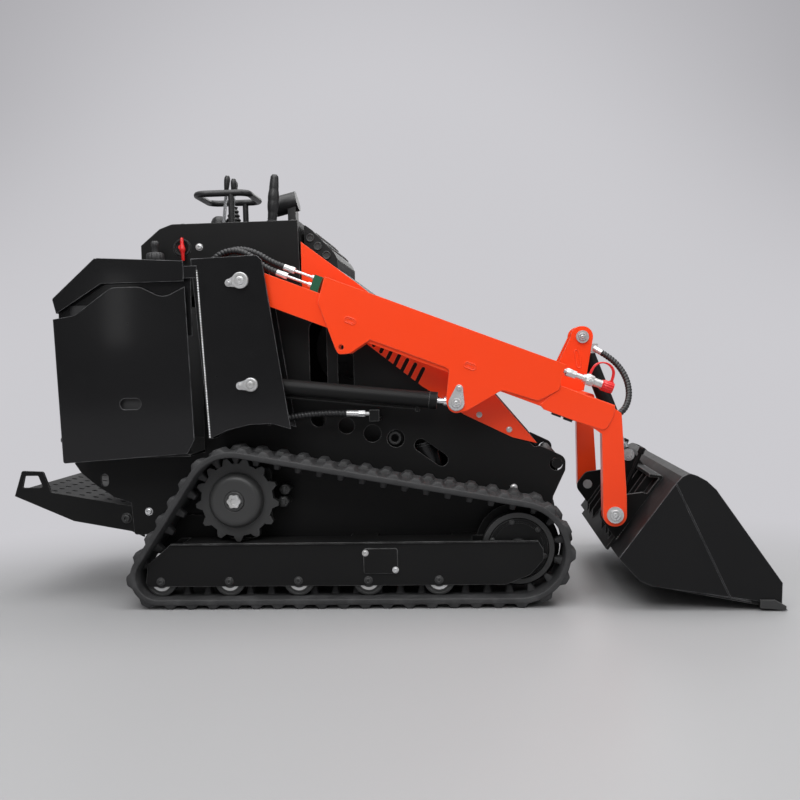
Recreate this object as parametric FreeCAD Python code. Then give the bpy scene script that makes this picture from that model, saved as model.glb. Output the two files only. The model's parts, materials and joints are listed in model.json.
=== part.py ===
import FreeCAD, Part
import math
import os

V = FreeCAD.Vector
os.makedirs("parts", exist_ok=True)

# Mini track loader, millimetres.
# +X points to the front, +Y to the machine's left, +Z up; the ground is z = 0.
# Every side outline is drawn in X and Z and pushed along Y.

# ---- fits ----
pin_play = 0.08             # radial clearance of a pin in its bores
seat_gap = 0.3              # gap under curved faces that lie on flat ones
side_play = 8.0             # between the boom arm and the tower plates
running_play = 5.0          # round what turns beside a fixed piece
plate = 8.0                 # structural plate
sheet = 5.0                 # panels and covers

# ---- tracks ----
track_centre = 430.0        # from the machine's middle to a track's middle
track_width = 200.0
belt = 20.0                 # thickness of the belt
tread = 14.0                # height of an outer block
lug_pitch = 72.0            # wanted distance between drive lugs
drive_lug = 26.0            # height of a drive lug
drive_lug_width = 44.0
sprocket_teeth = 13
sprocket_at = (-461.0, 350.0)
sprocket_width = 30.0
idler_at = (470.0, 180.0)
idler_belt_r = 146.0
rear_bend_r = 72.0
rear_bend_x = -716.0
roller_r = 51.0
roller_count = 5
roller_step = 231.5
roller_axle_r = 14.0
frame_outer = 488.0         # outer face of the track frame, from the middle
frame_inner = 372.0
frame_low = 68.0
frame_high = 212.0
roller_room = 14.0          # from the rollers to the beam over them

belt_in_z = belt + tread    # inner face of the bottom run
sprocket_belt_r = sprocket_teeth * lug_pitch / (2 * math.pi) - 1.0
sprocket_tip_r = sprocket_belt_r - 7.0
rear_bend_z = belt_in_z + rear_bend_r
roller_z = belt_in_z + roller_r + seat_gap
beam_low = belt_in_z + 2 * roller_r + roller_room

# ---- chassis ----
chassis_half = 318.0        # outer faces of the chassis plates
tower_plate = 10.0
panel_step = 8.0            # from the towers out to the rear panels
tank_top = 1010.0
console_wall = 6.0
console_top = 1289.0
console_low = 1040.0
console_front = -247.0
console_half = chassis_half + console_wall
hood_start = -243.0
hood_line = ((hood_start, 1215.0), (-45.0, 1062.0), (405.0, 680.0), (545.0, 512.0))
grille_front = -128.0
nose_hole = (608.0, 440.0)
nose_hole_r = 22.0
switch_at = (-655.0, 1207.0)
switch_r = 31.0

# ---- boom, at rest with the bucket on the ground ----
boom_pivot = (-421.0, 1077.0)
boom_slope = 21.5           # degrees down to the front
arm_centre = 416.0
arm_width = 72.0            # over the doubler plates
doubler = 8.0
arm_low = -48.0             # underside, from the line through the pivot
arm_high = 50.0
arm_front_high = 38.0
arm_length = 1287.0
doubler_high = 107.0
pivot_pin_r = 20.0
lift_pin_r = 16.0
bucket_pin_r = 18.0
tilt_pin_r = 14.0
leg_half = 38.0
cylinder_base = (-396.0, 734.0)
rod_eye_on_boom = (803.5, -132.7)   # along and above the boom's line
cross_tube_on_boom = (1190.0, -8.0)
bucket_pivot = (785.0, 284.0)
tilt_top = (729.0, 872.0)
lift_barrel_r = 27.0
lift_rod_r = 10.0
tilt_barrel_r = 28.0
tilt_rod_r = 12.0
tower_out = arm_centre + arm_width / 2 + side_play + tower_plate
rear_half = tower_out + panel_step

# ---- bucket and its carrier ----
bucket_half = 575.0
bucket_sheet = 6.0
bucket_tip_x = 1292.0
bucket_lean = 10.8          # degrees that the floor dips to the front
back_foot = (777.0, 167.0)  # where the bucket's back meets its heel
back_angle = 52.5           # degrees of the back from level
back_length = 294.0
attach_half = 376.0
attach_plate = 10.0
ear_plate = 12.0
tilt_pin_up = 285.0         # along the back from back_foot
tilt_pin_off = 78.0         # behind the back

# ---- platform ----
platform_half = 310.0
grip_hole_r = 11.0

# ---- hoses and fittings ----
hose_r = 8.0
ferrule_r = 10.5
pipe_r = 4.5
valve_rear = 220.0          # along the boom's line
valve_front = 248.0
valve_high = 103.0
boom_hose_ends = ((96.0, 66.0, -428.0), (108.0, 92.0, -404.0))  # along, above and across the boom
shelf_top = 1040.0          # where the boom hoses end in the towers
coupler_high = 86.0         # above the boom's line
coupler_sides = (-434.0, -398.0)
coupler_start = 1094.0      # front end of the doubler plates
coupler_end = 1225.0
coupler_r = 13.5
cap_r = 16.0
tether_r = 2.5
side_hose_y = -400.0
post_rear = -13.0           # bracket of the side hose


# ======== helpers ========
def outline(points):
    """Closed X-Z wire; a point may carry a corner radius."""
    count = len(points)
    cuts = []
    for i in range(count):
        here = V(points[i][0], 0, points[i][1])
        before = V(points[i - 1][0], 0, points[i - 1][1])
        after = V(points[(i + 1) % count][0], 0, points[(i + 1) % count][1])
        radius = points[i][2] if len(points[i]) > 2 else 0
        if radius == 0:
            cuts.append((here, None, here))
            continue
        to_before = (before - here).normalize()
        to_after = (after - here).normalize()
        half = to_before.getAngle(to_after) / 2
        back = radius / math.tan(half)
        middle = (to_before + to_after).normalize()
        centre = here + middle * (radius / math.sin(half))
        cuts.append((here + to_before * back, centre - middle * radius, here + to_after * back))
    edges = []
    for i in range(count):
        start, top, end = cuts[i]
        if top is not None:
            edges.append(Part.Arc(start, top, end).toShape())
        following = cuts[(i + 1) % count][0]
        if (following - end).Length > 1e-6:
            edges.append(Part.LineSegment(end, following).toShape())
    return Part.Wire(edges)


def slab(points, y0, y1, holes=()):
    """Plate of the given outline between two Y values, less the outlines of its holes."""
    solid = Part.Face(outline(points)).extrude(V(0, y1 - y0, 0))
    solid.translate(V(0, y0, 0))
    for hole in holes:
        tool = Part.Face(outline(hole)).extrude(V(0, y1 - y0 + 2, 0))
        tool.translate(V(0, y0 - 1, 0))
        solid = solid.cut(tool)
    return solid


def rod(at, radius, y0, y1):
    """Round bar along Y at an X-Z place."""
    return Part.makeCylinder(radius, y1 - y0, V(at[0], y0, at[1]), V(0, 1, 0))


def bar(start, end, radius):
    """Round bar between two points in space."""
    along = V(*end) - V(*start)
    return Part.makeCylinder(radius, along.Length, V(*start), along)


def block(x0, x1, y0, y1, z0, z1):
    return Part.makeBox(x1 - x0, y1 - y0, z1 - z0, V(x0, y0, z0))


def oblong(centre, length, width, angle=0.0):
    """Outline of a slot with round ends."""
    turn = math.radians(angle)
    corners = []
    for along, across in ((-1, -1), (1, -1), (1, 1), (-1, 1)):
        a = along * length / 2
        b = across * width / 2
        x = centre[0] + a * math.cos(turn) - b * math.sin(turn)
        z = centre[1] + a * math.sin(turn) + b * math.cos(turn)
        corners.append((x, z, width / 2 * 0.999))
    return corners


def ring_outline(centre, radius):
    """Round hole as a square with full corner radii."""
    return oblong(centre, 2 * radius, 2 * radius)


def drill(solid, at, radius, y0=-700, y1=700):
    return solid.cut(rod(at, radius, y0, y1))


def fuse(*solids):
    whole = solids[0]
    if len(solids) > 1:
        whole = solids[0].multiFuse(list(solids[1:]))
    return whole.removeSplitter()


def mirrored(solid):
    return solid.mirror(V(0, 0, 0), V(0, 1, 0))


def save(name, *solids):
    shape = solids[0] if len(solids) == 1 else Part.makeCompound(list(solids))
    shape.exportStep("parts/" + name + ".step")


def save_both(name, *solids):
    """The right-hand pieces and their mirror images, in one node."""
    save(name, *solids, *[mirrored(s) for s in solids])


def save_pair(name, *solids):
    """The right-hand piece is drawn, at -Y; the left-hand one is its mirror image."""
    save(name + "_right", *solids)
    save(name + "_left", *[mirrored(s) for s in solids])


def tube(points, radius):
    """Hose: straight runs joined by tangent arcs, each as large as its runs allow."""
    places = [V(*p) for p in points]
    edges = []
    radii = []
    start = places[0]
    for i in range(1, len(places) - 1):
        to_before = places[i - 1] - places[i]
        to_after = places[i + 1] - places[i]
        shorter = min(to_before.Length, to_after.Length)
        to_before.normalize()
        to_after.normalize()
        half_turn = (math.pi - to_before.getAngle(to_after)) / 2
        bend = 0.45 * shorter / math.tan(half_turn)
        back = 0.45 * shorter
        middle = (to_before + to_after).normalize()
        centre = places[i] + middle * (bend / math.cos(half_turn))
        enter = places[i] + to_before * back
        leave = places[i] + to_after * back
        edges.append(Part.LineSegment(start, enter).toShape())
        edges.append(Part.Arc(enter, centre - middle * bend, leave).toShape())
        radii.append(bend)
        start = leave
    edges.append(Part.LineSegment(start, places[-1]).toShape())
    path = Part.Wire(edges)
    ring = Part.makeCircle(radius, places[0], places[1] - places[0])
    solid = path.makePipeShell([Part.Wire([ring])], True, True)
    wanted = math.pi * radius ** 2 * path.Length
    print("hose radii", [round(r) for r in radii], "volume ratio", round(solid.Volume / wanted, 4))
    return solid


def walk(start, steps):
    """Points of a level-sided route: each step has a length and a heading in degrees."""
    points = [start]
    for length, heading in steps:
        turn = math.radians(heading)
        a, b = points[-1]
        points.append((a + length * math.cos(turn), b + length * math.sin(turn)))
    return points


def hex_bar(start, end, across):
    """Hexagonal bar between two points in space, given by its width across the flats."""
    along = V(*end) - V(*start)
    up = V(0, 1, 0)
    side = along.cross(up).normalize()
    corner_r = across / math.sqrt(3)
    ring = []
    for k in range(7):
        angle = k * math.pi / 3
        ring.append(V(*start) + up * (corner_r * math.cos(angle)) + side * (corner_r * math.sin(angle)))
    return Part.Face(Part.makePolygon(ring)).extrude(along)


def on_boom(s, h):
    """X-Z place given along the boom's line from its pivot, and above it."""
    turn = math.radians(boom_slope)
    x = boom_pivot[0] + s * math.cos(turn) + h * math.sin(turn)
    z = boom_pivot[1] - s * math.sin(turn) + h * math.cos(turn)
    return (x, z)


def boom_points(points):
    return [on_boom(p[0], p[1]) + tuple(p[2:]) for p in points]


def on_back(u, n):
    """X-Z place given up the bucket's back from its foot, and behind it."""
    turn = math.radians(back_angle)
    x = back_foot[0] + u * math.cos(turn) - n * math.sin(turn)
    z = back_foot[1] + u * math.sin(turn) + n * math.cos(turn)
    return (x, z)


def back_points(points):
    return [on_back(p[0], p[1]) + tuple(p[2:]) for p in points]


def in_boom(s, h, y):
    """Place in space from the distances along, above and across the boom."""
    x, z = on_boom(s, h)
    return (x, y, z)


lift_eye = on_boom(*rod_eye_on_boom)
tilt_foot = on_back(tilt_pin_up, tilt_pin_off)


# ======== tracks ========
class Loop:
    """Belt line round three wheels, walked clockwise as seen from the machine's right."""

    def __init__(self, wheels):
        self.pieces = []
        self.length = 0.0
        runs = []
        for i in range(len(wheels)):
            x1, z1, r1 = wheels[i]
            x2, z2, r2 = wheels[(i + 1) % len(wheels)]
            gap = math.hypot(x2 - x1, z2 - z1)
            along = ((x2 - x1) / gap, (z2 - z1) / gap)
            lean = (r1 - r2) / gap
            rise = math.sqrt(1 - lean * lean)
            out = (along[0] * lean - along[1] * rise, along[1] * lean + along[0] * rise)
            runs.append((out, (x1 + out[0] * r1, z1 + out[1] * r1), (x2 + out[0] * r2, z2 + out[1] * r2)))
        for i in range(len(wheels)):
            x, z, r = wheels[i]
            enter = math.atan2(runs[i - 1][0][1], runs[i - 1][0][0])
            leave = math.atan2(runs[i][0][1], runs[i][0][0])
            turn = (enter - leave) % (2 * math.pi)
            self.pieces.append(("arc", x, z, r, enter, turn, self.length))
            self.length += r * turn
            out, start, end = runs[i]
            span = math.hypot(end[0] - start[0], end[1] - start[1])
            self.pieces.append(("run", start, end, out, span, 0, self.length))
            self.length += span

    def wire(self, grow):
        edges = []
        for piece in self.pieces:
            if piece[0] == "arc":
                _, x, z, r, enter, turn, _ = piece
                marks = []
                for share in (0, 0.5, 1):
                    angle = enter - turn * share
                    marks.append(V(x + (r + grow) * math.cos(angle), 0, z + (r + grow) * math.sin(angle)))
                edges.append(Part.Arc(*marks).toShape())
            else:
                _, start, end, out, _, _, _ = piece
                a = V(start[0] + out[0] * grow, 0, start[1] + out[1] * grow)
                b = V(end[0] + out[0] * grow, 0, end[1] + out[1] * grow)
                edges.append(Part.LineSegment(a, b).toShape())
        return Part.Wire(edges)

    def place(self, s):
        """Point and outward direction at a distance along the loop."""
        s = s % self.length
        for piece in reversed(self.pieces):
            if s >= piece[6]:
                break
        if piece[0] == "arc":
            _, x, z, r, enter, turn, begin = piece
            angle = enter - (s - begin) / r
            return (x + r * math.cos(angle), z + r * math.sin(angle)), (math.cos(angle), math.sin(angle))
        _, start, end, out, span, _, begin = piece
        share = (s - begin) / span
        return (start[0] + (end[0] - start[0]) * share, start[1] + (end[1] - start[1]) * share), out


belt_loop = Loop([
    sprocket_at + (sprocket_belt_r,),
    idler_at + (idler_belt_r,),
    (rear_bend_x, rear_bend_z, rear_bend_r),
])
lug_count = round(belt_loop.length / lug_pitch)
real_pitch = belt_loop.length / lug_count


def lug(s, low, high, foot, top, y0, y1):
    """Block across the belt: foot and top are half lengths, low and high lie along the normal."""
    (x, z), out = belt_loop.place(s)
    ahead = (out[1], -out[0])
    corners = []
    for along, up in ((-foot, low), (foot, low), (top, high), (-top, high)):
        corners.append((x + ahead[0] * along + out[0] * up, z + ahead[1] * along + out[1] * up))
    return slab(corners, y0, y1)


def track():
    low = -track_centre - track_width / 2
    high = low + track_width
    band = Part.Face([belt_loop.wire(belt), belt_loop.wire(0)])
    if band.Area < 0:
        band.reverse()
    band = band.extrude(V(0, track_width, 0))
    band.translate(V(0, low, 0))
    pieces = []
    for i in range(lug_count):
        s = i * real_pitch
        grip = belt + tread
        pieces.append(lug(s, belt - 3, grip, 24, 12, low + 5, -track_centre - 8))
        pieces.append(lug(s + real_pitch / 2, belt - 3, grip, 24, 12, -track_centre + 8, high - 5))
        half = drive_lug_width / 2
        pieces.append(lug(s, 2, -drive_lug, 16, 9, -track_centre - half, -track_centre + half))
    return band.multiFuse(pieces)


def sprocket():
    """Toothed drive wheel: each tooth stands in the gap between two drive lugs."""
    x, z = sprocket_at
    root = sprocket_belt_r - drive_lug
    tip = sprocket_tip_r
    enter = belt_loop.pieces[0][4]
    tooth_step = 2 * math.pi / sprocket_teeth
    first = enter + tooth_step / 2
    half = sprocket_width / 2
    wheel = rod(sprocket_at, root, -track_centre - half, -track_centre + half)
    teeth = []
    for i in range(sprocket_teeth):
        angle = first - i * tooth_step
        corners = []
        for radius, width in ((root - 6, -17), (root - 6, 17), (root + 4, 15), (tip, 6), (tip, -6), (root + 4, -15)):
            corners.append((
                x + radius * math.cos(angle) - width * math.sin(angle),
                z + radius * math.sin(angle) + width * math.cos(angle),
            ))
        teeth.append(slab(corners, -track_centre - half, -track_centre + half))
    return wheel.multiFuse(teeth).removeSplitter()


def hub_cover():
    """Drum over the drive motor with a bevelled rim, and the ring and nut in its middle."""
    x, z = sprocket_at
    face = -track_centre - sprocket_width / 2
    cover_r = 92.0
    depth = 38.0
    crown = 22.0
    drum = rod(sprocket_at, cover_r, face - depth + crown, face)
    cap = Part.makeCone(cover_r, cover_r - crown, crown, V(x, face - depth + crown, z), V(0, -1, 0))
    ring = rod(sprocket_at, 35, face - depth - 5, face - depth + 1)
    nut = rod(sprocket_at, 24, face - depth - 13, face - depth - 5)
    return fuse(drum, cap, ring, nut)


def drive_motor():
    """Motor between the chassis plate and the sprocket, on a square flange."""
    x, z = sprocket_at
    inner = -track_centre + sprocket_width / 2
    flange = slab([(x - 95, z - 95, 20), (x + 95, z - 95, 20), (x + 95, z + 95, 20), (x - 95, z + 95, 20)],
                  -chassis_half - 16, -chassis_half)
    body = rod(sprocket_at, 82, inner, -chassis_half - 16)
    return fuse(flange, body)


def idler():
    """Front wheel: its rim runs on the tips of the drive lugs."""
    rim = idler_belt_r - drive_lug - 3
    half = 27.0
    wheel = rod(idler_at, rim, -track_centre - half, -track_centre + half)
    wheel = wheel.cut(rod(idler_at, rim - 16, -track_centre - half - 1, -track_centre - half + 8))
    hub = rod(idler_at, 34, -frame_outer + plate, -frame_inner - plate)
    return fuse(wheel, hub)


def rollers():
    """Double rims with a waist that lets the drive lugs pass between them."""
    waist = roller_r - drive_lug - running_play
    result = []
    for i in range(roller_count):
        at = (rear_bend_x + i * roller_step, roller_z)
        axle = rod(at, roller_axle_r, -frame_outer + plate, -frame_inner - plate)
        pair = [axle]
        for side in (-1, 1):
            middle = -track_centre + side * 38
            pair.append(rod(at, roller_r, middle - 11, middle + 11))
            pair.append(rod(at, waist, min(middle, -track_centre), max(middle, -track_centre)))
        result.append(fuse(*pair))
    return result


def track_frame():
    """Two side plates on a box beam, with arms to the chassis plate."""
    side = [
        (-677, frame_high), (-759, 142, 12), (-767, frame_low, 12), (427, frame_low, 20), (505, 100, 20),
        (549, 148, 16), (549, 182, 10), (531, frame_high),
    ]
    outer = slab(side, -frame_outer, -frame_outer + plate)
    inner = slab(side, -frame_inner - plate, -frame_inner)
    beam = block(-640, 320, -frame_outer + plate, -frame_inner - plate, beam_low, frame_high)
    beam = beam.cut(rod(sprocket_at, sprocket_tip_r + running_play, -frame_outer, -frame_inner))
    pieces = [outer, inner, beam]
    for x in (-560, -90, 250):
        pieces.append(block(x, x + 90, -frame_inner, -chassis_half, beam_low, frame_high))
    lip = block(-677, 531, -frame_outer - 6, -frame_outer, frame_high - 5, frame_high)
    pieces.append(lip)
    return fuse(*pieces)


def tension_cover():
    """Plate over the track's grease fitting."""
    return slab([(-35, 108, 8), (76, 108, 8), (76, 190, 8), (-35, 190, 8)], -frame_outer - 4, -frame_outer)


def running_gear():
    save_pair("track", track())
    save_both("sprockets", sprocket())
    save_both("hub_covers", hub_cover())
    save_both("drive_motors", drive_motor())
    save_both("idlers", idler())
    save_both("rollers", *rollers())
    save_pair("track_frame", track_frame(), tension_cover())



# ======== chassis ========
def chassis_plate():
    """Side plate inboard of the track, from the nose to the lower rear."""
    edge = [
        (640, 462, 28), (638, 419, 12), (596, 331), (591, 297), (560, 170, 20), (-690, 170, 20),
        (-760, 215), (-860, 215, 10), (-868, 327), (-926, 347), (-988, 388), (-1042, 433), (-1066, 468),
        (-1040, 500), (-600, 500), (-600, console_low), (console_front - console_wall - 2, console_low + 69),
        (console_front - console_wall - 2, console_low), (-40, 980), (400, 625), (536, 500), (556, 503),
    ]
    holes = [
        ring_outline(nose_hole, nose_hole_r),
        oblong((-194, 820), 250, 60, 90),
        oblong((-100, 770), 160, 54, 90),
        ring_outline((-199, 607), 26),
        ring_outline((-103, 583), 28),
        ring_outline((-14, 555), 30),
        ring_outline((66, 536), 30),
        oblong((186, 486), 130, 44, -36),
        oblong((-960, 408), 44, 26, 90),
    ]
    return slab(edge, -chassis_half, -chassis_half + plate, holes)


def chassis_floor():
    """Belly pan and the cross plates that join the two side plates."""
    half = chassis_half - plate
    pan = block(-690, 560, -half, half, 176, 184)
    nose = slab([(572, 300), (580, 300), (614, 425), (606, 425)], -half, half)
    rear = block(-700, -692, -half, half, 184, 500)
    middle = block(-250, -242, -half, half, 184, 700)
    return pan, nose, rear, middle


def tank_tray():
    """Floor under the two tanks, out to the rear panels."""
    return block(-1034, -606, -rear_half + sheet, rear_half - sheet, 500, 508)


def lift_tower():
    """Outer and inner plate with the boom arm and the lift cylinder between them."""
    edge = [
        (-586, 1153), (-365, 1159, 18), (-349, 1142), (-268, 585), (-330, 604), (-404, 602), (-480, 585),
        (-541, 557),
    ]
    holes = [ring_outline(boom_pivot, pivot_pin_r + pin_play), ring_outline(cylinder_base, lift_pin_r + pin_play)]
    arm_half = arm_width / 2 + side_play
    outer = slab(edge, -tower_out, -tower_out + tower_plate, holes)
    inner_face = -arm_centre + arm_half
    inner = slab(edge, inner_face, inner_face + tower_plate, holes)
    back = slab([(-586, 1153), (-576, 1153), (-531, 557), (-541, 557)], -tower_out + tower_plate, inner_face)
    pieces = [outer, inner, back]
    for x, z in ((-560, console_low - 20), (-540, 640)):
        pieces.append(block(x, x + 200, inner_face + tower_plate, -chassis_half, z, z + 10))
    for x in (-560, -400):
        pieces.append(block(x, x + 8, inner_face + tower_plate, -chassis_half, 640, console_low - 10))
    return fuse(*pieces)


def tower_pins():
    """Boom pivot and cylinder base pins, each held by a keeper on the outer plate."""
    inner_end = -arm_centre + arm_width / 2 + side_play + tower_plate
    solids = []
    for at, radius, keeper in ((boom_pivot, pivot_pin_r, (-38, -7)), (cylinder_base, lift_pin_r, (-36, -3))):
        pin = rod(at, radius, -tower_out - 8, inner_end)
        collar = rod(at, radius + 7, -tower_out - 10, -tower_out)
        far = (at[0] + keeper[0], at[1] + keeper[1])
        tail = rod(far, 13, -tower_out - 6, -tower_out)
        nx = -(far[1] - at[1])
        nz = far[0] - at[0]
        span = math.hypot(nx, nz)
        nx = nx / span
        nz = nz / span
        wide = radius + 5
        strap = slab([
            (at[0] + nx * wide, at[1] + nz * wide), (far[0] + nx * 12, far[1] + nz * 12),
            (far[0] - nx * 12, far[1] - nz * 12), (at[0] - nx * wide, at[1] - nz * wide),
        ], -tower_out - 6, -tower_out)
        solids.append(fuse(pin, collar, tail, strap))
    return solids


def rear_panel():
    """Gloss side panel with its wavy upper edge and a hand slot."""
    edge = [
        (-1057, 966), (-1039, 484, 8), (-614, 510), (-590, 556), (-607, 1062), (-680, 1026, 60),
        (-757, 1066, 60), (-854, 1066, 40), (-899, 1036), (-980, 978, 30),
    ]
    return slab(edge, -rear_half, -rear_half + sheet, [oblong((-802, 679), 72, 37)])


def rear_wall():
    """Back panel between the two side panels."""
    inner = rear_half - sheet
    return slab([(-1057, 966), (-1039, 512), (-1034, 512), (-1052, 966)], -inner, inner)


def rear_rim():
    """Upper band round both sides and the back, open above the tanks."""
    side = [(-1057, 1032, 4), (-905, 1165, 20), (-610, 1147), (-610, 1080), (-890, 1080, 20), (-1045, 985)]
    inner = rear_half - sheet
    right = slab(side, -rear_half, -inner)
    back = slab([(-1057, 1032), (-1051, 1037), (-1039, 989), (-1045, 985)], -inner, inner)
    top = slab([(-1053, 1031), (-905, 1161), (-908, 1165), (-1056, 1035)], -rear_half, -rear_half + 60)
    tab = block(-650, -566, -inner, -tower_out, 1090, 1130)
    return fuse(right, mirrored(right), back, top, mirrored(top), tab, mirrored(tab))


def rear_tank():
    """Tank standing on the tray beside the console."""
    solid = block(-1020, -640, -rear_half + sheet + 12, -chassis_half - 8, 508, tank_top)
    upright = [e for e in solid.Edges if e.BoundBox.ZLength > 1]
    return solid.makeFillet(30, upright)


def console_box():
    """Housing under the controls, open below and closed above."""
    w = console_wall
    edge = [
        (-800, console_low), (-800, console_top - 70), (-733, console_top - 15, 20), (-690, console_top, 40),
        (console_front - 5, console_top), (console_front, console_low),
    ]
    shell = slab(edge, -console_half, console_half)
    room = [
        (-800 + w, console_low - 10), (-800 + w, console_top - 73), (-731, console_top - 21, 16),
        (-690, console_top - w, 36),
        (console_front - 5 - w, console_top - w), (console_front - w, console_low - 10),
    ]
    shell = shell.cut(slab(room, -chassis_half, chassis_half))
    return shell.cut(rod(switch_at, switch_r + seat_gap, -console_half - 1, -chassis_half + 1))


def engine_block():
    solid = block(-200, 200, -210, 210, 184, 690)
    return solid.makeChamfer(40, [e for e in solid.Edges if abs(e.BoundBox.ZMin - 690) < 1])


def hood_side():
    """Sloped side skirt with slanted cooling slots."""
    edge = [*hood_line, (463, 533), (300, 614), (207, 682), (158, 714), (-29, 864), (hood_start, 1042)]
    slots = []
    count = 7
    for i in range(count):
        share = i / (count - 1)
        middle = (2 + 150 * share, 862 - 116 * share)
        slots.append(oblong(middle, 26 + 44 * share, 13, 62))
    return slab(edge, -chassis_half - sheet, -chassis_half, slots)


def hood_top():
    """Sloped cover between the skirts, with a field of cooling slots."""
    half = chassis_half
    under = [(541, 506), (401, 673), (-49, 1055), (hood_start, 1206)]
    cover = slab([*hood_line, *under], -half, half)
    for i in range(12):
        x = -190 + i * 27
        z = 1218 - (x + 247) * 0.79
        for y in (-150, 0, 150):
            cover = cover.cut(block(x, x + 11, y - 62, y + 62, z - 60, z + 60))
    return cover


def hood_grille():
    """Raised cover over the radiator's air outlet, across the upper end of the hood."""
    top, knee = hood_line[:2]
    fall = (knee[1] - top[1]) / (knee[0] - top[0])
    edge = [
        top, (hood_start, 1284, 4), (-215, 1263, 14), (-181, 1227, 30), (-140, 1184, 20), (grille_front, 1160, 8),
        (grille_front, top[1] + (grille_front - top[0]) * fall),
    ]
    return slab(edge, -250, 250)


# ======== controls ========
def reference_bar():
    """Level ring of tube that the operator holds, on four posts."""
    r = 12.0
    height = console_top + 136
    x0, x1, y1 = -665.0, -470.0, 115.0
    bend = 40.0
    corners = [(x0, -y1), (x1, -y1), (x1, y1), (x0, y1)]
    tangents = []
    for i in range(4):
        here = V(corners[i][0], corners[i][1], height)
        before = V(corners[i - 1][0], corners[i - 1][1], height) - here
        after = V(corners[(i + 1) % 4][0], corners[(i + 1) % 4][1], height) - here
        before.normalize()
        after.normalize()
        centre = here + (before + after) * bend
        top = centre - (before + after).normalize() * bend
        tangents.append((here + before * bend, top, here + after * bend))
    edges = []
    for i in range(4):
        following = tangents[(i + 1) % 4]
        edges.append(Part.LineSegment(tangents[i][2], following[0]).toShape())
        edges.append(Part.Arc(*following).toShape())
    start = tangents[0][2]
    section = Part.makeCircle(r, start, tangents[1][0] - start)
    ring = Part.Wire(edges).makePipeShell([Part.Wire([section])], True, True)
    posts = [bar((x1 - 60, y, console_top), (x1 - 60, y, height), r - 1) for y in (-y1, y1)]
    return ring.multiFuse(posts)


def control_levers():
    """Travel and boom levers, each with a boot, a stem and a grip."""
    solids = []
    for x, y, lean, rise in ((-560, -60, 6, 211), (-556, 0, 10, 209), (-560, 60, 6, 211)):
        top = console_top + rise
        boot = Part.makeCone(26, 14, 46, V(x, y, console_top), V(0, 0, 1))
        stem = bar((x, y, console_top + 40), (x + lean, y, top - 60), 6)
        grip = bar((x + lean, y, top - 70), (x + lean, y, top), 12)
        solids.append(fuse(boot, stem, grip.makeChamfer(4, [grip.Edges[0]])))
    return solids


def drive_grip():
    """Thick travel handle at the front of the deck, on its bracket."""
    base = block(-445, -305, -110, 0, console_top, console_top + 32)
    grip = bar((-372, -60, console_top + 30), (-392, -60, console_top + 201), 17)
    return fuse(base, grip)


def control_pod():
    """Round instrument pod that faces the operator."""
    foot = block(-350, -320, 30, 90, console_top, console_top + 100)
    pod = bar((-404, 60, console_top + 106), (-317, 60, console_top + 126), 38)
    return fuse(foot, pod)


def battery_switch():
    """Isolator with its key in the side of the console."""
    x, z = switch_at
    seat = rod(switch_at, switch_r, -console_half, -chassis_half)
    stem = rod(switch_at, 12, -console_half - 14, -console_half)
    key = block(x - 8, x + 8, -console_half - 26, -console_half - 12, z - 35, z + 39)
    return fuse(seat, stem, key)


def filler_caps():
    solids = []
    for y in (-400, 400):
        neck = bar((-760, y, tank_top), (-760, y, 1030), 24)
        cap = bar((-760, y, 1030), (-760, y, 1052), 34)
        solids.append(fuse(neck, cap))
    return solids


# ======== platform ========
def platform_side():
    edge = [
        (-bucket_tip_x, 355), (-1263, 444, 6), (-1185, 440, 10), (-1159, 367), (-874, 316), (-840, 336), (-828, 205),
        (-873, 226), (-1080, 264),
    ]
    loop = [(-1252, 426, 4), (-1204, 426, 6), (-1188, 384, 6), (-1262, 384, 4)]
    return slab(edge, -platform_half, -platform_half + plate, [loop])


def tread_plate():
    """Standing plate between the platform's sides, with punched grip holes."""
    half = platform_half - plate
    floor = slab([(-1264, 372), (-1264, 378), (-872, 314), (-872, 308)], -half, half)
    corner = [V(math.cos(k * math.pi / 4), math.sin(k * math.pi / 4), 0) for k in range(9)]
    punches = []
    for row in range(7):
        for column in range(9):
            middle = V(-1225 + row * 50, -240 + column * 60, 290)
            mouth = Part.Face(Part.makePolygon([middle + c * grip_hole_r for c in corner]))
            punches.append(mouth.extrude(V(0, 0, 120)))
    return floor.cut(Part.makeCompound(punches))


# ======== boom ========
def boom_arm():
    """Box arm with doubler plates, an ear for the lift rod and the leg to the bucket pin."""
    half = arm_width / 2
    core_y0 = -arm_centre - half + doubler
    core_y1 = -arm_centre + half - doubler
    core = slab(boom_points([
        (-42, arm_low, 40), (arm_length, arm_low), (arm_length, arm_front_high), (1094, arm_front_high),
        (1094, doubler_high - 4), (258, doubler_high - 4), (258, arm_high), (-42, arm_high, 40),
    ]), core_y0, core_y1)
    cheek = boom_points([
        (254, doubler_high, 6), (1094, doubler_high), (1094, 56), (1101, 38), (1099, 20, 10), (1050, -34, 14),
        (931, -42), (920, -52, 8), (847, -142, 20), (rod_eye_on_boom[0] - 4, -176, 30), (770, -140, 22),
        (744, -40, 6), (731, -36), (467, -36), (420, -100, 10), (385, -118, 14), (366, -100, 10), (321, -48, 8),
        (262, 20, 20),
    ])
    ears = [ring_outline(on_boom(385, -92), 9)]
    outer = slab(cheek, -arm_centre - half, core_y0, ears)
    inner = slab(cheek, core_y1, -arm_centre + half, ears)
    px, pz = bucket_pivot
    leg = slab([
        (690, 590), (784, 634, 6), (811, 614, 10), (px + leg_half, pz + 60), (px + leg_half, pz - leg_half, 37),
        (px - leg_half, pz - leg_half, 37), (px - leg_half, 548),
    ], core_y0, core_y1)
    arm = fuse(core, outer, inner, leg)
    arm = drill(arm, boom_pivot, pivot_pin_r + pin_play)
    arm = drill(arm, bucket_pivot, bucket_pin_r + pin_play)
    return drill(arm, lift_eye, lift_pin_r)


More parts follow.
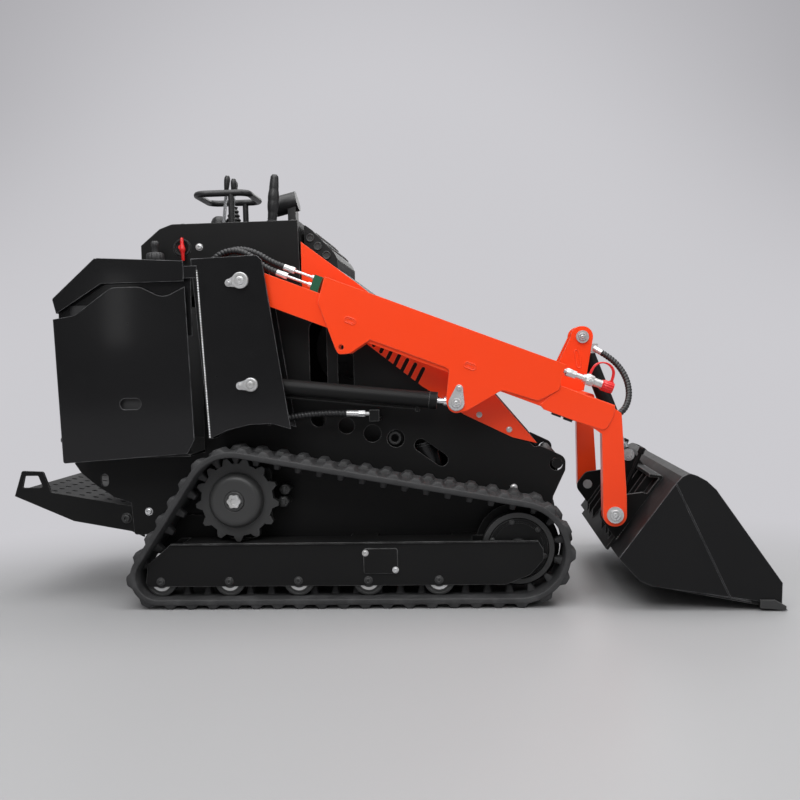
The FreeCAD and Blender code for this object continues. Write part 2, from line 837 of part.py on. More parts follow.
def lift_eye_stubs():
    """Rod pin seen from both sides of the ear; its middle is left out, clear of the rod's eye."""
    half = arm_width / 2
    solids = []
    for face, side in ((-arm_centre - half, -1), (-arm_centre + half, 1)):
        y0, y1 = sorted((face - side * doubler, face + side * 10))
        stub = rod(lift_eye, lift_pin_r, y0, y1)
        c0, c1 = sorted((face, face + side * 8))
        solids.append(fuse(stub, rod(lift_eye, lift_pin_r + 8, c0, c1)))
    return solids


def boom_cross_tube():
    """Box tube across the boom, between the arms."""
    inner = arm_centre - arm_width / 2 + doubler
    at = on_boom(*cross_tube_on_boom)
    solid = slab([
        (at[0] - 48, at[1] - 44, 10), (at[0] + 48, at[1] - 44, 10), (at[0] + 48, at[1] + 44, 10),
        (at[0] - 48, at[1] + 44, 10),
    ], -inner, inner)
    return solid


def boom_tower():
    """Two ears on the cross tube for the upper end of the tilt cylinder."""
    at = on_boom(*cross_tube_on_boom)
    x, z = tilt_top
    foot = at[1] + 44
    edge = [
        (at[0] - 48, foot), (at[0] + 48, foot), (at[0] + 60, 740), (x + 38, z - 4), (x + 38, z + 38, 37),
        (x - 38, z + 38, 37), (x - 42, z), (at[0] - 62, 740),
    ]
    solids = []
    for y in (-66, 50):
        ear = slab(edge, y, y + 16)
        solids.append(drill(ear, tilt_top, tilt_pin_r + pin_play))
    brace = block(at[0] - 46, at[0] - 34, -50, 50, foot, foot + 90)
    return fuse(*solids, brace)


def tilt_top_pin():
    x, z = tilt_top
    pin = rod(tilt_top, tilt_pin_r, -76, 76)
    head = rod(tilt_top, tilt_pin_r + 9, -74, -66)
    return fuse(pin, head, mirrored(head))


def bucket_pin():
    """Pin that carries the bucket's frame in one of the boom's legs."""
    half = arm_width / 2
    outer_face = -arm_centre - half + doubler
    pin = rod(bucket_pivot, bucket_pin_r, outer_face - 12, -attach_half + ear_plate)
    washer = rod(bucket_pivot, bucket_pin_r + 9, outer_face - 8, outer_face - 1)
    return fuse(pin, washer)


# ======== cylinders ========
def toward(start, end, distance):
    gap = math.hypot(end[0] - start[0], end[1] - start[1])
    share = distance / gap
    return (start[0] + (end[0] - start[0]) * share, start[1] + (end[1] - start[1]) * share)


def cylinder(base, eye, y, barrel_r, rod_r, pin_r, rod_shows, eye_half, closes):
    """Barrel and rod of a ram, between its base pin and the eye on its rod.

    closes is how far the rod can still slide in from the drawn place.
    """
    gap = math.hypot(eye[0] - base[0], eye[1] - base[1])
    mouth = gap - rod_shows
    a = toward(base, eye, pin_r + 4)
    b = toward(base, eye, mouth - 26)
    c = toward(base, eye, mouth)
    body = bar((a[0], y, a[1]), (b[0], y, b[1]), barrel_r)
    gland = bar((b[0], y, b[1]), (c[0], y, c[1]), barrel_r + 2)
    lug_eye = rod(base, pin_r + 13, y - eye_half, y + eye_half)
    barrel = fuse(body, gland, lug_eye)
    hollow_start = toward(base, eye, pin_r + 40)
    barrel = barrel.cut(bar((hollow_start[0], y, hollow_start[1]), (c[0], y, c[1]), rod_r + 0.1))
    barrel = drill(barrel, base, pin_r + pin_play, y - 60, y + 60)
    stem_start = toward(base, eye, pin_r + 48 + closes)
    stem_end = toward(base, eye, gap - pin_r - 6)
    stem = bar((stem_start[0], y, stem_start[1]), (stem_end[0], y, stem_end[1]), rod_r)
    collar_start = toward(base, eye, gap - pin_r - 26)
    collar = bar((collar_start[0], y, collar_start[1]), (stem_end[0], y, stem_end[1]), rod_r + 6)
    head = rod(eye, pin_r + 12, y - eye_half, y + eye_half)
    piston = fuse(stem, collar, head)
    piston = drill(piston, eye, pin_r + 0.5, y - 60, y + 60)
    return barrel, piston


def lift_pipe():
    """Oil pipe along the underside of a lift cylinder, between its two ports."""
    gap = math.hypot(lift_eye[0] - cylinder_base[0], lift_eye[1] - cylinder_base[1])
    ux = (lift_eye[0] - cylinder_base[0]) / gap
    uz = (lift_eye[1] - cylinder_base[1]) / gap

    def below(along, off):
        return (cylinder_base[0] + ux * along + uz * off, -arm_centre, cylinder_base[1] + uz * along - ux * off)

    off = lift_barrel_r + pipe_r + 3
    pieces = [bar(below(66, off), below(560, off), pipe_r)]
    for along in (74, 552):
        pieces.append(bar(below(along, lift_barrel_r - 6), below(along, off + pipe_r + 2), 8))
    return fuse(*pieces)


# ======== bucket ========
def floor_z(x):
    """Underside of the bucket's floor, which meets the ground at the edge's tip."""
    return (bucket_tip_x - x) * math.tan(math.radians(bucket_lean))


def bucket_side_outline():
    return [
        (975, 421), (998, 431, 14), (1021, 423), (1049, 407, 20), (1078, 379), (1275, 87), (1272, floor_z(1272) + 16),
        (877, floor_z(877)), (839, 97, 30), back_foot, on_back(back_length, 0),
    ]


def bucket_shell():
    """Back, heel and floor bent from one sheet, with a lip across the top."""
    t = bucket_sheet
    line = [on_back(back_length, 0), back_foot, (839, 97), (877, floor_z(877)), (1180, floor_z(1180))]
    back_in = on_back(back_length, -t)
    foot_in = (back_foot[0] + 8.5, back_foot[1] + 1)
    inner = [(1180, floor_z(1180) + t), (879, floor_z(877) + t), (843, 102), foot_in, back_in]
    half = bucket_half - bucket_sheet
    shell = slab(line + inner, -half, half)
    top = slab([on_back(back_length, 0), (975, 421), (998, 431), (1000, 425), (977, 414), back_in], -half, half)
    return fuse(shell, top)


def bucket_side():
    """Side sheet with the groove of its crease."""
    side = slab(bucket_side_outline(), -bucket_half, -bucket_half + bucket_sheet)
    crease = slab([(954, 397), (958, 399), (1122, 34), (1118, 32)], -bucket_half - 1, -bucket_half + 1.2)
    return side.cut(crease)


def cutting_edge():
    half = bucket_half
    thick = 14.0
    return slab([
        (1180, floor_z(1180)), (bucket_tip_x, 0), (1262, floor_z(1262) + thick), (1180, floor_z(1180) + thick),
    ], -half + bucket_sheet, half - bucket_sheet)


def attach_frame():
    """Carrier plate behind the bucket, with ears for the leg pins and the tilt cylinder."""
    face = slab(back_points([
        (-14, 0), (back_length - 4, 0), (back_length - 4, attach_plate), (-14, attach_plate),
    ]), -attach_half, attach_half)
    flange = slab(back_points([(280, 8), (290, 8), (272, 42), (262, 38)]), -attach_half, attach_half)
    notch = slab(back_points([(180, -4), (320, -4), (320, 60), (180, 60)]), -30, 30)
    face = face.fuse(flange).cut(notch)
    px, pz = bucket_pivot
    along = 97.8
    off = 64.9
    side = slab(back_points([
        (along - 66, 2), (along + 120, 2), (along + 110, 26), (along + 34, off + 36, 34), (along - 36, off + 36, 34),
    ]), -attach_half, -attach_half + ear_plate)
    pieces = [face, side, mirrored(side)]
    for y in (-30 - ear_plate, 30):
        pieces.append(slab(back_points([
            (60, 2), (back_length - 6, 2), (tilt_pin_up + 24, tilt_pin_off + 10),
            (tilt_pin_up + 22, tilt_pin_off + 22, 10), (tilt_pin_up - 22, tilt_pin_off + 22, 20), (120, 20),
        ]), y, y + ear_plate))
    for y in (-320, -250, -140, 130, 240, 310):
        pieces.append(slab(back_points([(0, 2), (284, 2), (270, 36), (40, 30)]), y, y + 10))
    whole = fuse(*pieces)
    whole = drill(whole, tilt_foot, tilt_pin_r)
    return drill(whole, bucket_pivot, bucket_pin_r, -attach_half - 1, attach_half + 1)


def tilt_foot_stubs():
    """Rod pin ends on the carrier's ears; the middle is left out, clear of the rod's eye."""
    solids = []
    for side in (-1, 1):
        y0, y1 = sorted((side * 30, side * (30 + ear_plate + 10)))
        c0, c1 = sorted((side * (30 + ear_plate), side * (30 + ear_plate + 7)))
        solids.append(fuse(rod(tilt_foot, tilt_pin_r, y0, y1), rod(tilt_foot, tilt_pin_r + 8, c0, c1)))
    return solids


def attach_levers():
    """Two latch levers on the back of the carrier, each with a knob at its end."""
    solids = []
    for y in (-195, 183):
        x0, z0 = on_back(150, attach_plate)
        x1, z1 = on_back(150, 42)
        x2, z2 = on_back(310, 74)
        boss = bar((x0, y, z0), (x1, y, z1), 16)
        x1, z1 = on_back(150, 34)
        stem = bar((x1, y, z1), (x2, y, z2), 7)
        x3, z3 = on_back(334, 79)
        knob = bar((x2, y, z2), (x3, y, z3), 11)
        knob = knob.makeChamfer(3, [e for e in knob.Edges if e.Closed])
        solids.append(fuse(boss, stem, knob))
    return solids


# ======== hoses ========
def boom_hose_routes():
    """Side routes of the two hoses that loop from an arm's pipes over into its tower."""
    back = 180 - boom_slope
    rises = (
        ((40, back), (48.4, 136.8), (46.6, 149), (40.4, 171.5)),
        ((46, back), (46, 146), (44.4, 157), (42, 174.5)),
    )
    falls = (((40, 196.1), (40, 220.8), (40, 245.4), (40, 270)), ((40, 198.4), (40, 222.2), (40, 246.1), (40, 270)))
    routes = []
    for (s, h, y), rise, fall in zip(boom_hose_ends, rises, falls):
        routes.append([(x, y, z) for x, z in walk(on_boom(s, h), rise + fall)])
    return routes


def valve_block():
    """Lock valve that sits on the arm, before its doubler plates."""
    edge = boom_points([
        (valve_rear, arm_high), (valve_front, arm_high), (valve_front, valve_high, 3), (valve_rear, valve_high, 3),
    ])
    return slab(edge, -arm_centre - 24, -arm_centre + 24)


def boom_fittings():
    """Ferrule, nut and pipe from each boom hose to the valve."""
    solids = []
    for s, h, y in boom_hose_ends:
        solids.append(fuse(
            bar(in_boom(s, h, y), in_boom(s + 22, h, y), ferrule_r),
            hex_bar(in_boom(s + 22, h, y), in_boom(s + 38, h, y), 21),
            bar(in_boom(s + 38, h, y), in_boom(valve_rear - 12, h, y), pipe_r),
            hex_bar(in_boom(valve_rear - 12, h, y), in_boom(valve_rear, h, y), 15),
        ))
    return solids


def hose_shelf():
    """Shelf inside a tower, with the ferrules in which the boom hoses end."""
    inner_face = -arm_centre + arm_width / 2 + side_play
    pieces = [block(-565, -510, -tower_out + tower_plate, inner_face, shelf_top - 8, shelf_top)]
    for route in boom_hose_routes():
        x, y, z = route[-1]
        pieces.append(bar((x, y, shelf_top - 1), (x, y, z), ferrule_r))
    return fuse(*pieces)


def side_hose_route():
    """From inside the right-hand tower forward to the post on the chassis plate."""
    steps = ((40, 11), (43, 9), (44, 6.5), (43, 3.5), (42, 0.5), (40, -2))
    return [(x, side_hose_y, z) for x, z in walk((-340, 609), steps)]


def side_brackets():
    """Post on the chassis plate, and the block inside the tower, that hold the side hose."""
    route = side_hose_route()
    post = block(post_rear, post_rear + 33, side_hose_y - 12, side_hose_y + 12, 602, 640)
    arm = block(post_rear, post_rear + 33, side_hose_y + 12, -chassis_half, 602, 612)
    inner_face = -arm_centre + arm_width / 2 + side_play
    x, y, z = route[0]
    seat = block(x - 16, x - 6, y - 12, inner_face, z - 14, z + 12)
    along = (V(*route[1]) - V(*route[0])).normalize()
    ferrule = bar(tuple(V(*route[0]) - along * 12), route[0], ferrule_r)
    return fuse(post, arm), fuse(seat, ferrule)


def side_fitting():
    """Ferrule and nut between the side hose and its post."""
    route = side_hose_route()
    end = V(*route[-1])
    along = (end - V(*route[-2])).normalize()
    ferrule = bar(tuple(end), tuple(end + along * 40), ferrule_r)
    nut = hex_bar(tuple(end + along * 40), tuple(end + along * 62), 21)
    stem = bar(tuple(end + along * 62), tuple(end + along * 90), 7)
    whole = fuse(ferrule, nut, stem)
    return whole.cut(block(post_rear, post_rear + 60, side_hose_y - 40, side_hose_y + 40, 560, 700))


def tether_route():
    """Loop of a cap's tether along and above the boom, from the coupler to the cap."""
    steps = ((24, 90), (24, 57), (24, 20), (24, -17), (24, -54), (24, -90))
    return walk((coupler_end - 45, coupler_high + cap_r + 4), steps)


def coupler_lug(s, top, y):
    """Small upright lug that a tether ends on."""
    return slab(boom_points([(s - 5, coupler_high), (s + 5, coupler_high), (s + 5, top), (s - 5, top)]), y - 4, y + 4)


def aux_coupler(y):
    """Pipe, nut and quick coupler for an attachment's hose."""
    h = coupler_high
    start = tether_route()[0]
    return fuse(
        bar(in_boom(coupler_start, h, y), in_boom(coupler_start + 24, h, y), 7),
        hex_bar(in_boom(coupler_start + 22, h, y), in_boom(coupler_start + 42, h, y), 24),
        bar(in_boom(coupler_start + 42, h, y), in_boom(coupler_start + 70, h, y), 9),
        bar(in_boom(coupler_start + 70, h, y), in_boom(coupler_end, h, y), coupler_r),
        coupler_lug(start[0], start[1], y),
    )


def coupler_cap(y):
    h = coupler_high
    end = tether_route()[-1]
    cup = bar(in_boom(coupler_end, h, y), in_boom(coupler_end + 38, h, y), cap_r)
    return fuse(cup, coupler_lug(end[0], end[1], y))


def front_hose_route():
    """From the ear of the boom's tower round to the cross tube, on the right."""
    return [
        (796, -78, 812), (828, -92, 790), (858, -112, 754), (876, -138, 710), (878, -168, 663), (862, -200, 622),
        (833.4, -219.3, 597.9), (796.7, -229.4, 585.3), (759, -229.4, 585.3),
    ]


def front_fittings():
    """Bracket and ferrule at each end of the front hose."""
    route = front_hose_route()
    at = on_boom(*cross_tube_on_boom)
    face = at[0] + 48
    x, y, z = route[-1]
    hanger = block(face, face + 6, y - 21, y + 21, z - 20, at[1] + 26)
    low = fuse(hanger, bar((face + 5, y, z), (x, y, z), ferrule_r))
    ear_low = (at[0] + 60, 740)
    ear_high = (tilt_top[0] + 38, tilt_top[1] - 4)
    lean = (ear_high[0] - ear_low[0]) / (ear_high[1] - ear_low[1])
    seat = slab([
        (ear_low[0] + (812 - ear_low[1]) * lean, 812), (784, 812), (784, 846),
        (ear_low[0] + (846 - ear_low[1]) * lean, 846),
    ], -66, -50)
    start = V(*route[0])
    along = (V(*route[1]) - start).normalize()
    high = fuse(seat, bar(tuple(start - along * 34), tuple(start), ferrule_r))
    return low, high


def write_hoses():
    save_both("valve_blocks", valve_block())
    fittings = boom_fittings()
    save("boom_fittings", *fittings, *[mirrored(f) for f in fittings], *front_fittings())
    save_both("boom_hoses", *[tube(route, hose_r) for route in boom_hose_routes()])
    shelf = hose_shelf()
    save("hose_brackets", shelf, mirrored(shelf), *side_brackets())
    save("side_hose", tube(side_hose_route(), hose_r))
    save("side_fitting", side_fitting())
    save("aux_couplers", *[aux_coupler(y) for y in coupler_sides])
    save("coupler_caps", *[coupler_cap(y) for y in coupler_sides])
    save("coupler_tethers", *[tube([in_boom(s, h, y) for s, h in tether_route()], tether_r) for y in coupler_sides])
    save("front_hose", tube(front_hose_route(), hose_r))


def write_chassis():
    save_pair("chassis_plate", chassis_plate())
    save("chassis_floor", *chassis_floor(), tank_tray())
    save_pair("lift_tower", lift_tower())
    save_both("tower_pins", *tower_pins())
    save_pair("rear_panel", rear_panel())
    save("rear_wall", rear_wall())
    save("rear_rim", rear_rim())
    save_both("rear_tanks", rear_tank())
    save("console", console_box())
    save("engine_block", engine_block())
    save_both("hood_sides", hood_side())
    save("hood_top", hood_top())
    save("hood_grille", hood_grille())
    save("reference_bar", reference_bar())
    save("control_levers", *control_levers(), drive_grip())
    save("control_pod", control_pod())
    save("battery_switch", battery_switch())
    save("filler_caps", *filler_caps())
    save_pair("platform_side", platform_side())
    save("tread_plate", tread_plate())


def write_boom():
    save_pair("boom_arm", boom_arm())
    stubs = lift_eye_stubs()
    save("boom_pins", *stubs, *[mirrored(s) for s in stubs], tilt_top_pin())
    save("boom_cross_tube", boom_cross_tube())
    save("boom_tower", boom_tower())
    barrel, piston = cylinder(cylinder_base, lift_eye, -arm_centre, lift_barrel_r, lift_rod_r, lift_pin_r, 64, 22, 0)
    save_pair("lift_barrel", fuse(barrel, lift_pipe()))
    save_pair("lift_rod", piston)
    barrel, piston = cylinder(tilt_top, tilt_foot, 0, tilt_barrel_r, tilt_rod_r, tilt_pin_r, 124, 20, 76)
    save("tilt_barrel", barrel)
    save("tilt_rod", piston)


def write_bucket():
    pin = bucket_pin()
    save("bucket_pins", pin, mirrored(pin), *tilt_foot_stubs())
    save("attach_frame", attach_frame())
    save("attach_levers", *attach_levers())
    save("bucket_shell", bucket_shell())
    save_both("bucket_sides", bucket_side())
    save("cutting_edge", cutting_edge())


running_gear()
write_chassis()
write_boom()
write_bucket()
write_hoses()
print("belt", round(belt_loop.length, 1), "lugs", lug_count, "pitch", round(real_pitch, 2))
print("lift eye", [round(v, 1) for v in lift_eye], "tilt foot", [round(v, 1) for v in tilt_foot])
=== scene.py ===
import json
import math

import bmesh
import bpy
import numpy as np
from mathutils import Matrix


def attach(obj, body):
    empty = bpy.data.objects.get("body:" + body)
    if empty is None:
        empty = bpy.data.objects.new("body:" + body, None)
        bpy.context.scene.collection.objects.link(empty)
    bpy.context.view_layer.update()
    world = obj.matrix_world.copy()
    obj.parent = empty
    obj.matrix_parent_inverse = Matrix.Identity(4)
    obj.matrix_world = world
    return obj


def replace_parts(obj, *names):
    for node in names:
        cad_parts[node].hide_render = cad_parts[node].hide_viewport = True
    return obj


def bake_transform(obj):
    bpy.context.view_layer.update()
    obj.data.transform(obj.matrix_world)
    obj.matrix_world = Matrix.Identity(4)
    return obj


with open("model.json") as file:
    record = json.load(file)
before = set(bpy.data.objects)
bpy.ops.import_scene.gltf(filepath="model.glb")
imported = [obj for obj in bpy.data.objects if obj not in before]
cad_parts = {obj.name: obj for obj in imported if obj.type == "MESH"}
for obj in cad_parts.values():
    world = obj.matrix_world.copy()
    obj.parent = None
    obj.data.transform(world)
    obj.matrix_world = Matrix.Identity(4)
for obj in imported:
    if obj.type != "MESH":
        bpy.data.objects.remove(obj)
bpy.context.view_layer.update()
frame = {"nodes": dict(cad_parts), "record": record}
nodes = frame["nodes"]
slotOf = {row["node"]: row["material_slot"] for row in frame["record"]["subparts"]}
print("frame loaded:", len(nodes), "nodes")


class Wire:
    # one output socket; arithmetic on it adds Math nodes to its sheet
    def __init__(self, sheet, socket):
        self.sheet = sheet
        self.socket = socket

    def maths(self, operation, *values):
        return self.sheet.add("Math", {"operation": operation}, dict(enumerate(values)))

    def __add__(self, other):
        return self.maths("ADD", self, other)

    def __sub__(self, other):
        return self.maths("SUBTRACT", self, other)

    def __rsub__(self, other):
        return self.maths("SUBTRACT", other, self)

    def __mul__(self, other):
        return self.maths("MULTIPLY", self, other)

    __radd__ = __add__
    __rmul__ = __mul__


class Sheet:
    # the node tree of one material or of the world
    def __init__(self, owner):
        owner.use_nodes = True
        self.tree = owner.node_tree
        self.tree.nodes.clear()

    def add(self, kind, settings=None, inputs=None, output=0):
        # makes one node: settings first, then values or links of its sockets
        node = self.tree.nodes.new("ShaderNode" + kind)
        for key, value in (settings or {}).items():
            setattr(node, key, value)
        for key, value in (inputs or {}).items():
            if isinstance(value, Wire):
                self.tree.links.new(value.socket, node.inputs[key])
            elif isinstance(value, tuple) and node.inputs[key].type == "RGBA":
                node.inputs[key].default_value = (*value, 1)
            else:
                node.inputs[key].default_value = value
        return Wire(self, node.outputs[output]) if node.outputs else node

    def mix(self, share, first, second):
        # colour mix: first where share is 0, second where it is 1
        return self.add("Mix", {"data_type": "RGBA"}, {0: share, 6: first, 7: second}, 2)

    def part(self, vector, axis):
        # one component of a vector: 0 for x, 1 for y and 2 for z
        return self.add("SeparateXYZ", None, {0: vector}, axis)

    def noise(self, at, size, detail=3, rough=0.5):
        # cloudy value from 0 to 1, with features of about that size in metres
        inputs = {"Vector": at, "Scale": 1 / size, "Detail": detail, "Roughness": rough}
        return self.add("TexNoise", None, inputs)

    def step(self, value, low, high):
        # smooth step of a value from 0 at low to 1 at high
        return self.add("MapRange", {"interpolation_type": "SMOOTHSTEP"}, {0: value, 1: low, 2: high})

    def bump(self, height, strength, depth, normal=None):
        inputs = {"Height": height, "Strength": strength, "Distance": depth}
        if normal is not None:
            inputs["Normal"] = normal
        return self.add("Bump", None, inputs)


# each finish's second colour: on paint and cast finishes it is the painted highlight along edges (partly
# rubbed wear) and the tone of random patches; on rubber it is grime and mud, on metal tarnish
finishes = {
    "orange_paint": dict(kind="paint", base=(0.93, 0.057, 0.008), worn=(0.95, 0.20, 0.11), rough=0.32,
        coat=0.22, bump=0.10, dust=0.01, shine=0.22),
    "gloss_black": dict(kind="paint", base=(0.0058, 0.0058, 0.0062), worn=(0.30, 0.30, 0.31), rough=0.24,
        coat=0.30, bump=0.10, dust=0.02, shine=0.18, scuff=True),
    "black_paint": dict(kind="paint", base=(0.0066, 0.0066, 0.0068), worn=(0.26, 0.26, 0.26), rough=0.44,
        coat=0.0, bump=0.14, dust=0.02, shine=0.15),
    "grey_steel": dict(kind="paint", base=(0.014, 0.014, 0.0145), worn=(0.10, 0.10, 0.10), rough=0.46,
        coat=0.0, bump=0.2, dust=0.10, shine=0.2),
    "track_rubber": dict(kind="rubber", base=(0.014, 0.0142, 0.015), worn=(0.06, 0.06, 0.062), rough=0.68,
        bump=0.35),
    "cast_parts": dict(kind="cast", base=(0.0115, 0.012, 0.0122), worn=(0.10, 0.10, 0.10), rough=0.42,
        bump=0.3),
    "zinc": dict(kind="metal", base=(0.72, 0.725, 0.735), worn=(0.46, 0.455, 0.44), rough=0.30, bump=0.25,
        metal=0.6),
    "rod_chrome": dict(kind="metal", base=(0.70, 0.71, 0.73), worn=(0.60, 0.61, 0.64), rough=0.12, bump=0.03,
        metal=0.8),
    "handle_plastic": dict(kind="plastic", base=(0.0072, 0.0072, 0.0078), rough=0.42, bump=0.20),
    "tank_plastic": dict(kind="plastic", base=(0.016, 0.016, 0.017), rough=0.5, bump=0.28),
    "hose_black": dict(kind="plastic", base=(0.011, 0.011, 0.012), rough=0.45, bump=0.16),
    "red_plastic": dict(kind="plastic", base=(0.62, 0.012, 0.012), rough=0.3, bump=0.08),
    "green_valve": dict(kind="plastic", base=(0.006, 0.085, 0.038), rough=0.35, bump=0.12),
}
# what a kind of surface has in common: size, detail and harshness of its grain, the grain's depth, how far
# smudges change the roughness, how patchy it is, and the rounding, samples and share of its lighter edges
# (painted highlight and rubbed wear)
kinds = {
    "paint": dict(grain=(0.0032, 1, 0.5), depth=0.0006, smudge=0.16, patchy=0.015, round=0.0034, samples=6,
        rubbed=0.75),
    "rubber": dict(grain=(0.0025, 3, 0.65), depth=0.0008, smudge=0.20, patchy=0.25),
    "cast": dict(grain=(0.004, 4, 0.6), depth=0.0012, smudge=0.20, patchy=0.4, round=0.0022, samples=4,
        rubbed=0.7),
    "metal": dict(grain=(0.0015, 2, 0.5), depth=0.0002),
    "plastic": dict(grain=(0.0011, 2, 0.5), depth=0.0003, smudge=0.14, patchy=0.3),
}
# sizes of patches and smudges; where masks start and end: lighter edges (painted highlight and rubbed wear)
# by the turn between normals, their breaks by smudge, dust by slope and patch, scuffs by x, mud by height,
# grime and tarnish by smudge; and how much rougher edges, dust and scuffs are
wear = {
    "cloud": 0.35, "smudge": 0.06, "edge": (0.985, 0.90), "rubs": (0.35, 0.65), "slope": (0.3, 1.0),
    "dusty": (0.3, 0.75), "dustShade": (0.34, 0.33, 0.32), "scuff": (0.71, 0.77), "mud": (0.42, 0.02),
    "grime": (0.35, 0.75), "tarnish": (0.3, 0.75), "rougher": (0.12, 0.5, 0.26),
}
madeFinishes = {}


def litWornEdges(sheet, kind):
    # the rounded normal, the flat one, and a value that grows to 1 where the two part, which is at an edge;
    # that value lightens edges with a painted highlight that partly stands for rubbed wear
    rounded = sheet.add("Bevel", {"samples": kind["samples"]}, {"Radius": kind["round"]})
    flat = sheet.add("NewGeometry", None, None, 3)
    match = sheet.add("VectorMath", {"operation": "DOT_PRODUCT"}, {0: rounded, 1: flat}, 1)
    return rounded, flat, sheet.step(match, *wear["edge"])


def makeFinish(name):
    if name in madeFinishes:
        return madeFinishes[name]
    look = finishes[name]
    kind = kinds[look["kind"]]
    base, worn = look["base"], look.get("worn")
    material = bpy.data.materials.new(name)
    sheet = Sheet(material)
    at = sheet.add("TexCoord", None, None, 3)  # object coordinates in metres
    cloud = sheet.noise(at, wear["cloud"], 4)
    smudge = sheet.noise(at, wear["smudge"], 5, 0.6)
    rough = look["rough"] + (smudge - 0.5) * kind.get("smudge", look["bump"])
    settings, rounded = {}, None
    if look["kind"] == "paint":
        # painted highlight along edges, partly rubbed wear: edges turn towards the finish's lighter second
        # colour, broken up by smudges
        rounded, flat, edge = litWornEdges(sheet, kind)
        edge = edge * (0.3 + 0.7 * sheet.step(smudge, *wear["rubs"]))
        up = sheet.step(sheet.part(flat, 2), *wear["slope"])
        dust = up * sheet.step(cloud, *wear["dusty"]) * look["dust"]
        colour = sheet.mix(edge * kind["rubbed"], sheet.mix(cloud * kind["patchy"], base, worn), worn)
        colour = sheet.mix(dust, colour, wear["dustShade"])
        edgeRough, dustRough, scuffRough = wear["rougher"]
        rough = rough + edge * edgeRough + dust * dustRough
        settings["Coat Weight"] = look["coat"]
        if "scuff" in look:
            # the bucket, in front of the machine, is scuffed by what it digs
            scuff = sheet.step(sheet.part(at, 0), *wear["scuff"])
            rough = rough + scuff * scuffRough
            settings["Coat Weight"] = look["coat"] * (1 - scuff)
        settings["Specular IOR Level"] = look["shine"]
        settings["Coat Roughness"] = 0.1
    elif look["kind"] == "rubber":
        low = sheet.step(sheet.part(at, 2), *wear["mud"])
        grime = sheet.step(smudge, *wear["grime"]) * (0.25 + low * 0.35) + cloud * kind["patchy"]
        colour = sheet.mix(grime, base, worn)
    elif look["kind"] == "cast":
        # painted highlight along edges, partly rubbed wear, as on paint
        rounded, flat, edge = litWornEdges(sheet, kind)
        colour = sheet.mix(edge * kind["rubbed"], sheet.mix(cloud * kind["patchy"], base, worn), worn)
    elif look["kind"] == "metal":
        colour = sheet.mix(sheet.step(smudge, *wear["tarnish"]), base, worn)
        settings["Metallic"] = look["metal"]
    else:
        pale = tuple(min(1, c * 1.8 + 0.004) for c in base)
        colour = sheet.mix(cloud * kind["patchy"], base, pale)
    settings["Base Color"] = colour
    settings["Roughness"] = rough
    settings["Normal"] = sheet.bump(sheet.noise(at, *kind["grain"]), look["bump"], kind["depth"], rounded)
    shader = sheet.add("BsdfPrincipled", None, settings)
    sheet.add("OutputMaterial", None, {"Surface": shader})
    madeFinishes[name] = material
    return material


for name, node in nodes.items():
    node.data.materials.clear()
    node.data.materials.append(makeFinish(slotOf[name]))
print("finishes:", len(madeFinishes))


def addObject(name, data):
    thing = bpy.data.objects.new(name, data)
    bpy.context.scene.collection.objects.link(thing)
    return thing


def buildMesh(name, patches, finish, sharp, body="chassis"):
    # patches are grids of points (u, v, 3) with flags that say whether u and v run round; each quad joins
    # a point to its next in u, in both and in v, and coincident rows are merged into poles
    points, quads, start = [], [], 0
    for grid, roundU, roundV in patches:
        grid = np.asarray(grid, float)
        countU, countV = grid.shape[:2]
        spanU, spanV = countU - (not roundU), countV - (not roundV)
        i, j = np.meshgrid(np.arange(spanU), np.arange(spanV), indexing="ij")
        nextI, nextJ = (i + 1) % countU, (j + 1) % countV
        quad = np.stack([i * countV + j, nextI * countV + j, nextI * countV + nextJ, i * countV + nextJ], -1)
        quads.append(quad.reshape(-1, 4) + start)
        points.append(grid.reshape(-1, 3))
        start += countU * countV
    points, quads = np.concatenate(points), np.concatenate(quads)
    mesh = bpy.data.meshes.new(name)
    mesh.vertices.add(len(points))
    mesh.vertices.foreach_set("co", points.astype(np.float32).ravel())
    mesh.loops.add(quads.size)
    mesh.loops.foreach_set("vertex_index", quads.astype(np.int32).ravel())
    mesh.polygons.add(len(quads))
    mesh.polygons.foreach_set("loop_start", np.arange(0, quads.size, 4, dtype=np.int32))
    mesh.update(calc_edges=True)
    mesh.validate()
    work = bmesh.new()
    work.from_mesh(mesh)
    bmesh.ops.remove_doubles(work, verts=work.verts, dist=2e-6)
    bmesh.ops.dissolve_degenerate(work, edges=work.edges, dist=1e-7)
    bmesh.ops.recalc_face_normals(work, faces=work.faces)
    work.to_mesh(mesh)
    work.free()
    mesh.shade_smooth()
    mesh.set_sharp_from_angle(angle=math.radians(sharp))
    mesh.materials.append(makeFinish(finish))
    piece = addObject(name, mesh)
    if body:
        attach(piece, body)
    return piece


def turned(profile, centre, axis, count=48, lobes=None):
    # surface of revolution: a point (radius, height) of the profile goes its height along the axis and its
    # radius away from it, at count even angles; lobes scales the radius by angle
    axis = np.array(axis, float) / np.linalg.norm(axis)
    side = np.cross(axis, (0, 0, 1) if abs(axis[2]) < 0.9 else (1, 0, 0))
    side /= np.linalg.norm(side)
    other = np.cross(axis, side)
    angle = np.linspace(0, 2 * np.pi, count, endpoint=False)
    radius, height = np.array(profile, float).T
    radius = radius[:, None] * (np.ones(count) if lobes is None else lobes(angle))
    grid = np.array(centre) + height[:, None, None] * axis
    grid = grid + radius[..., None] * (side * np.cos(angle)[:, None] + other * np.sin(angle)[:, None])
    return grid, False, True


def bothSides(profile, places, count, axis=None, lobes=None):
    # the turned shape at each place, right and left of the middle; without an axis it faces outwards
    return [turned(profile, (x, s * y, z), axis or (0, s, 0), count, lobes)
            for x, y, z in places for s in (-1, 1)]


bothWays = ((-1, "right"), (1, "left"))


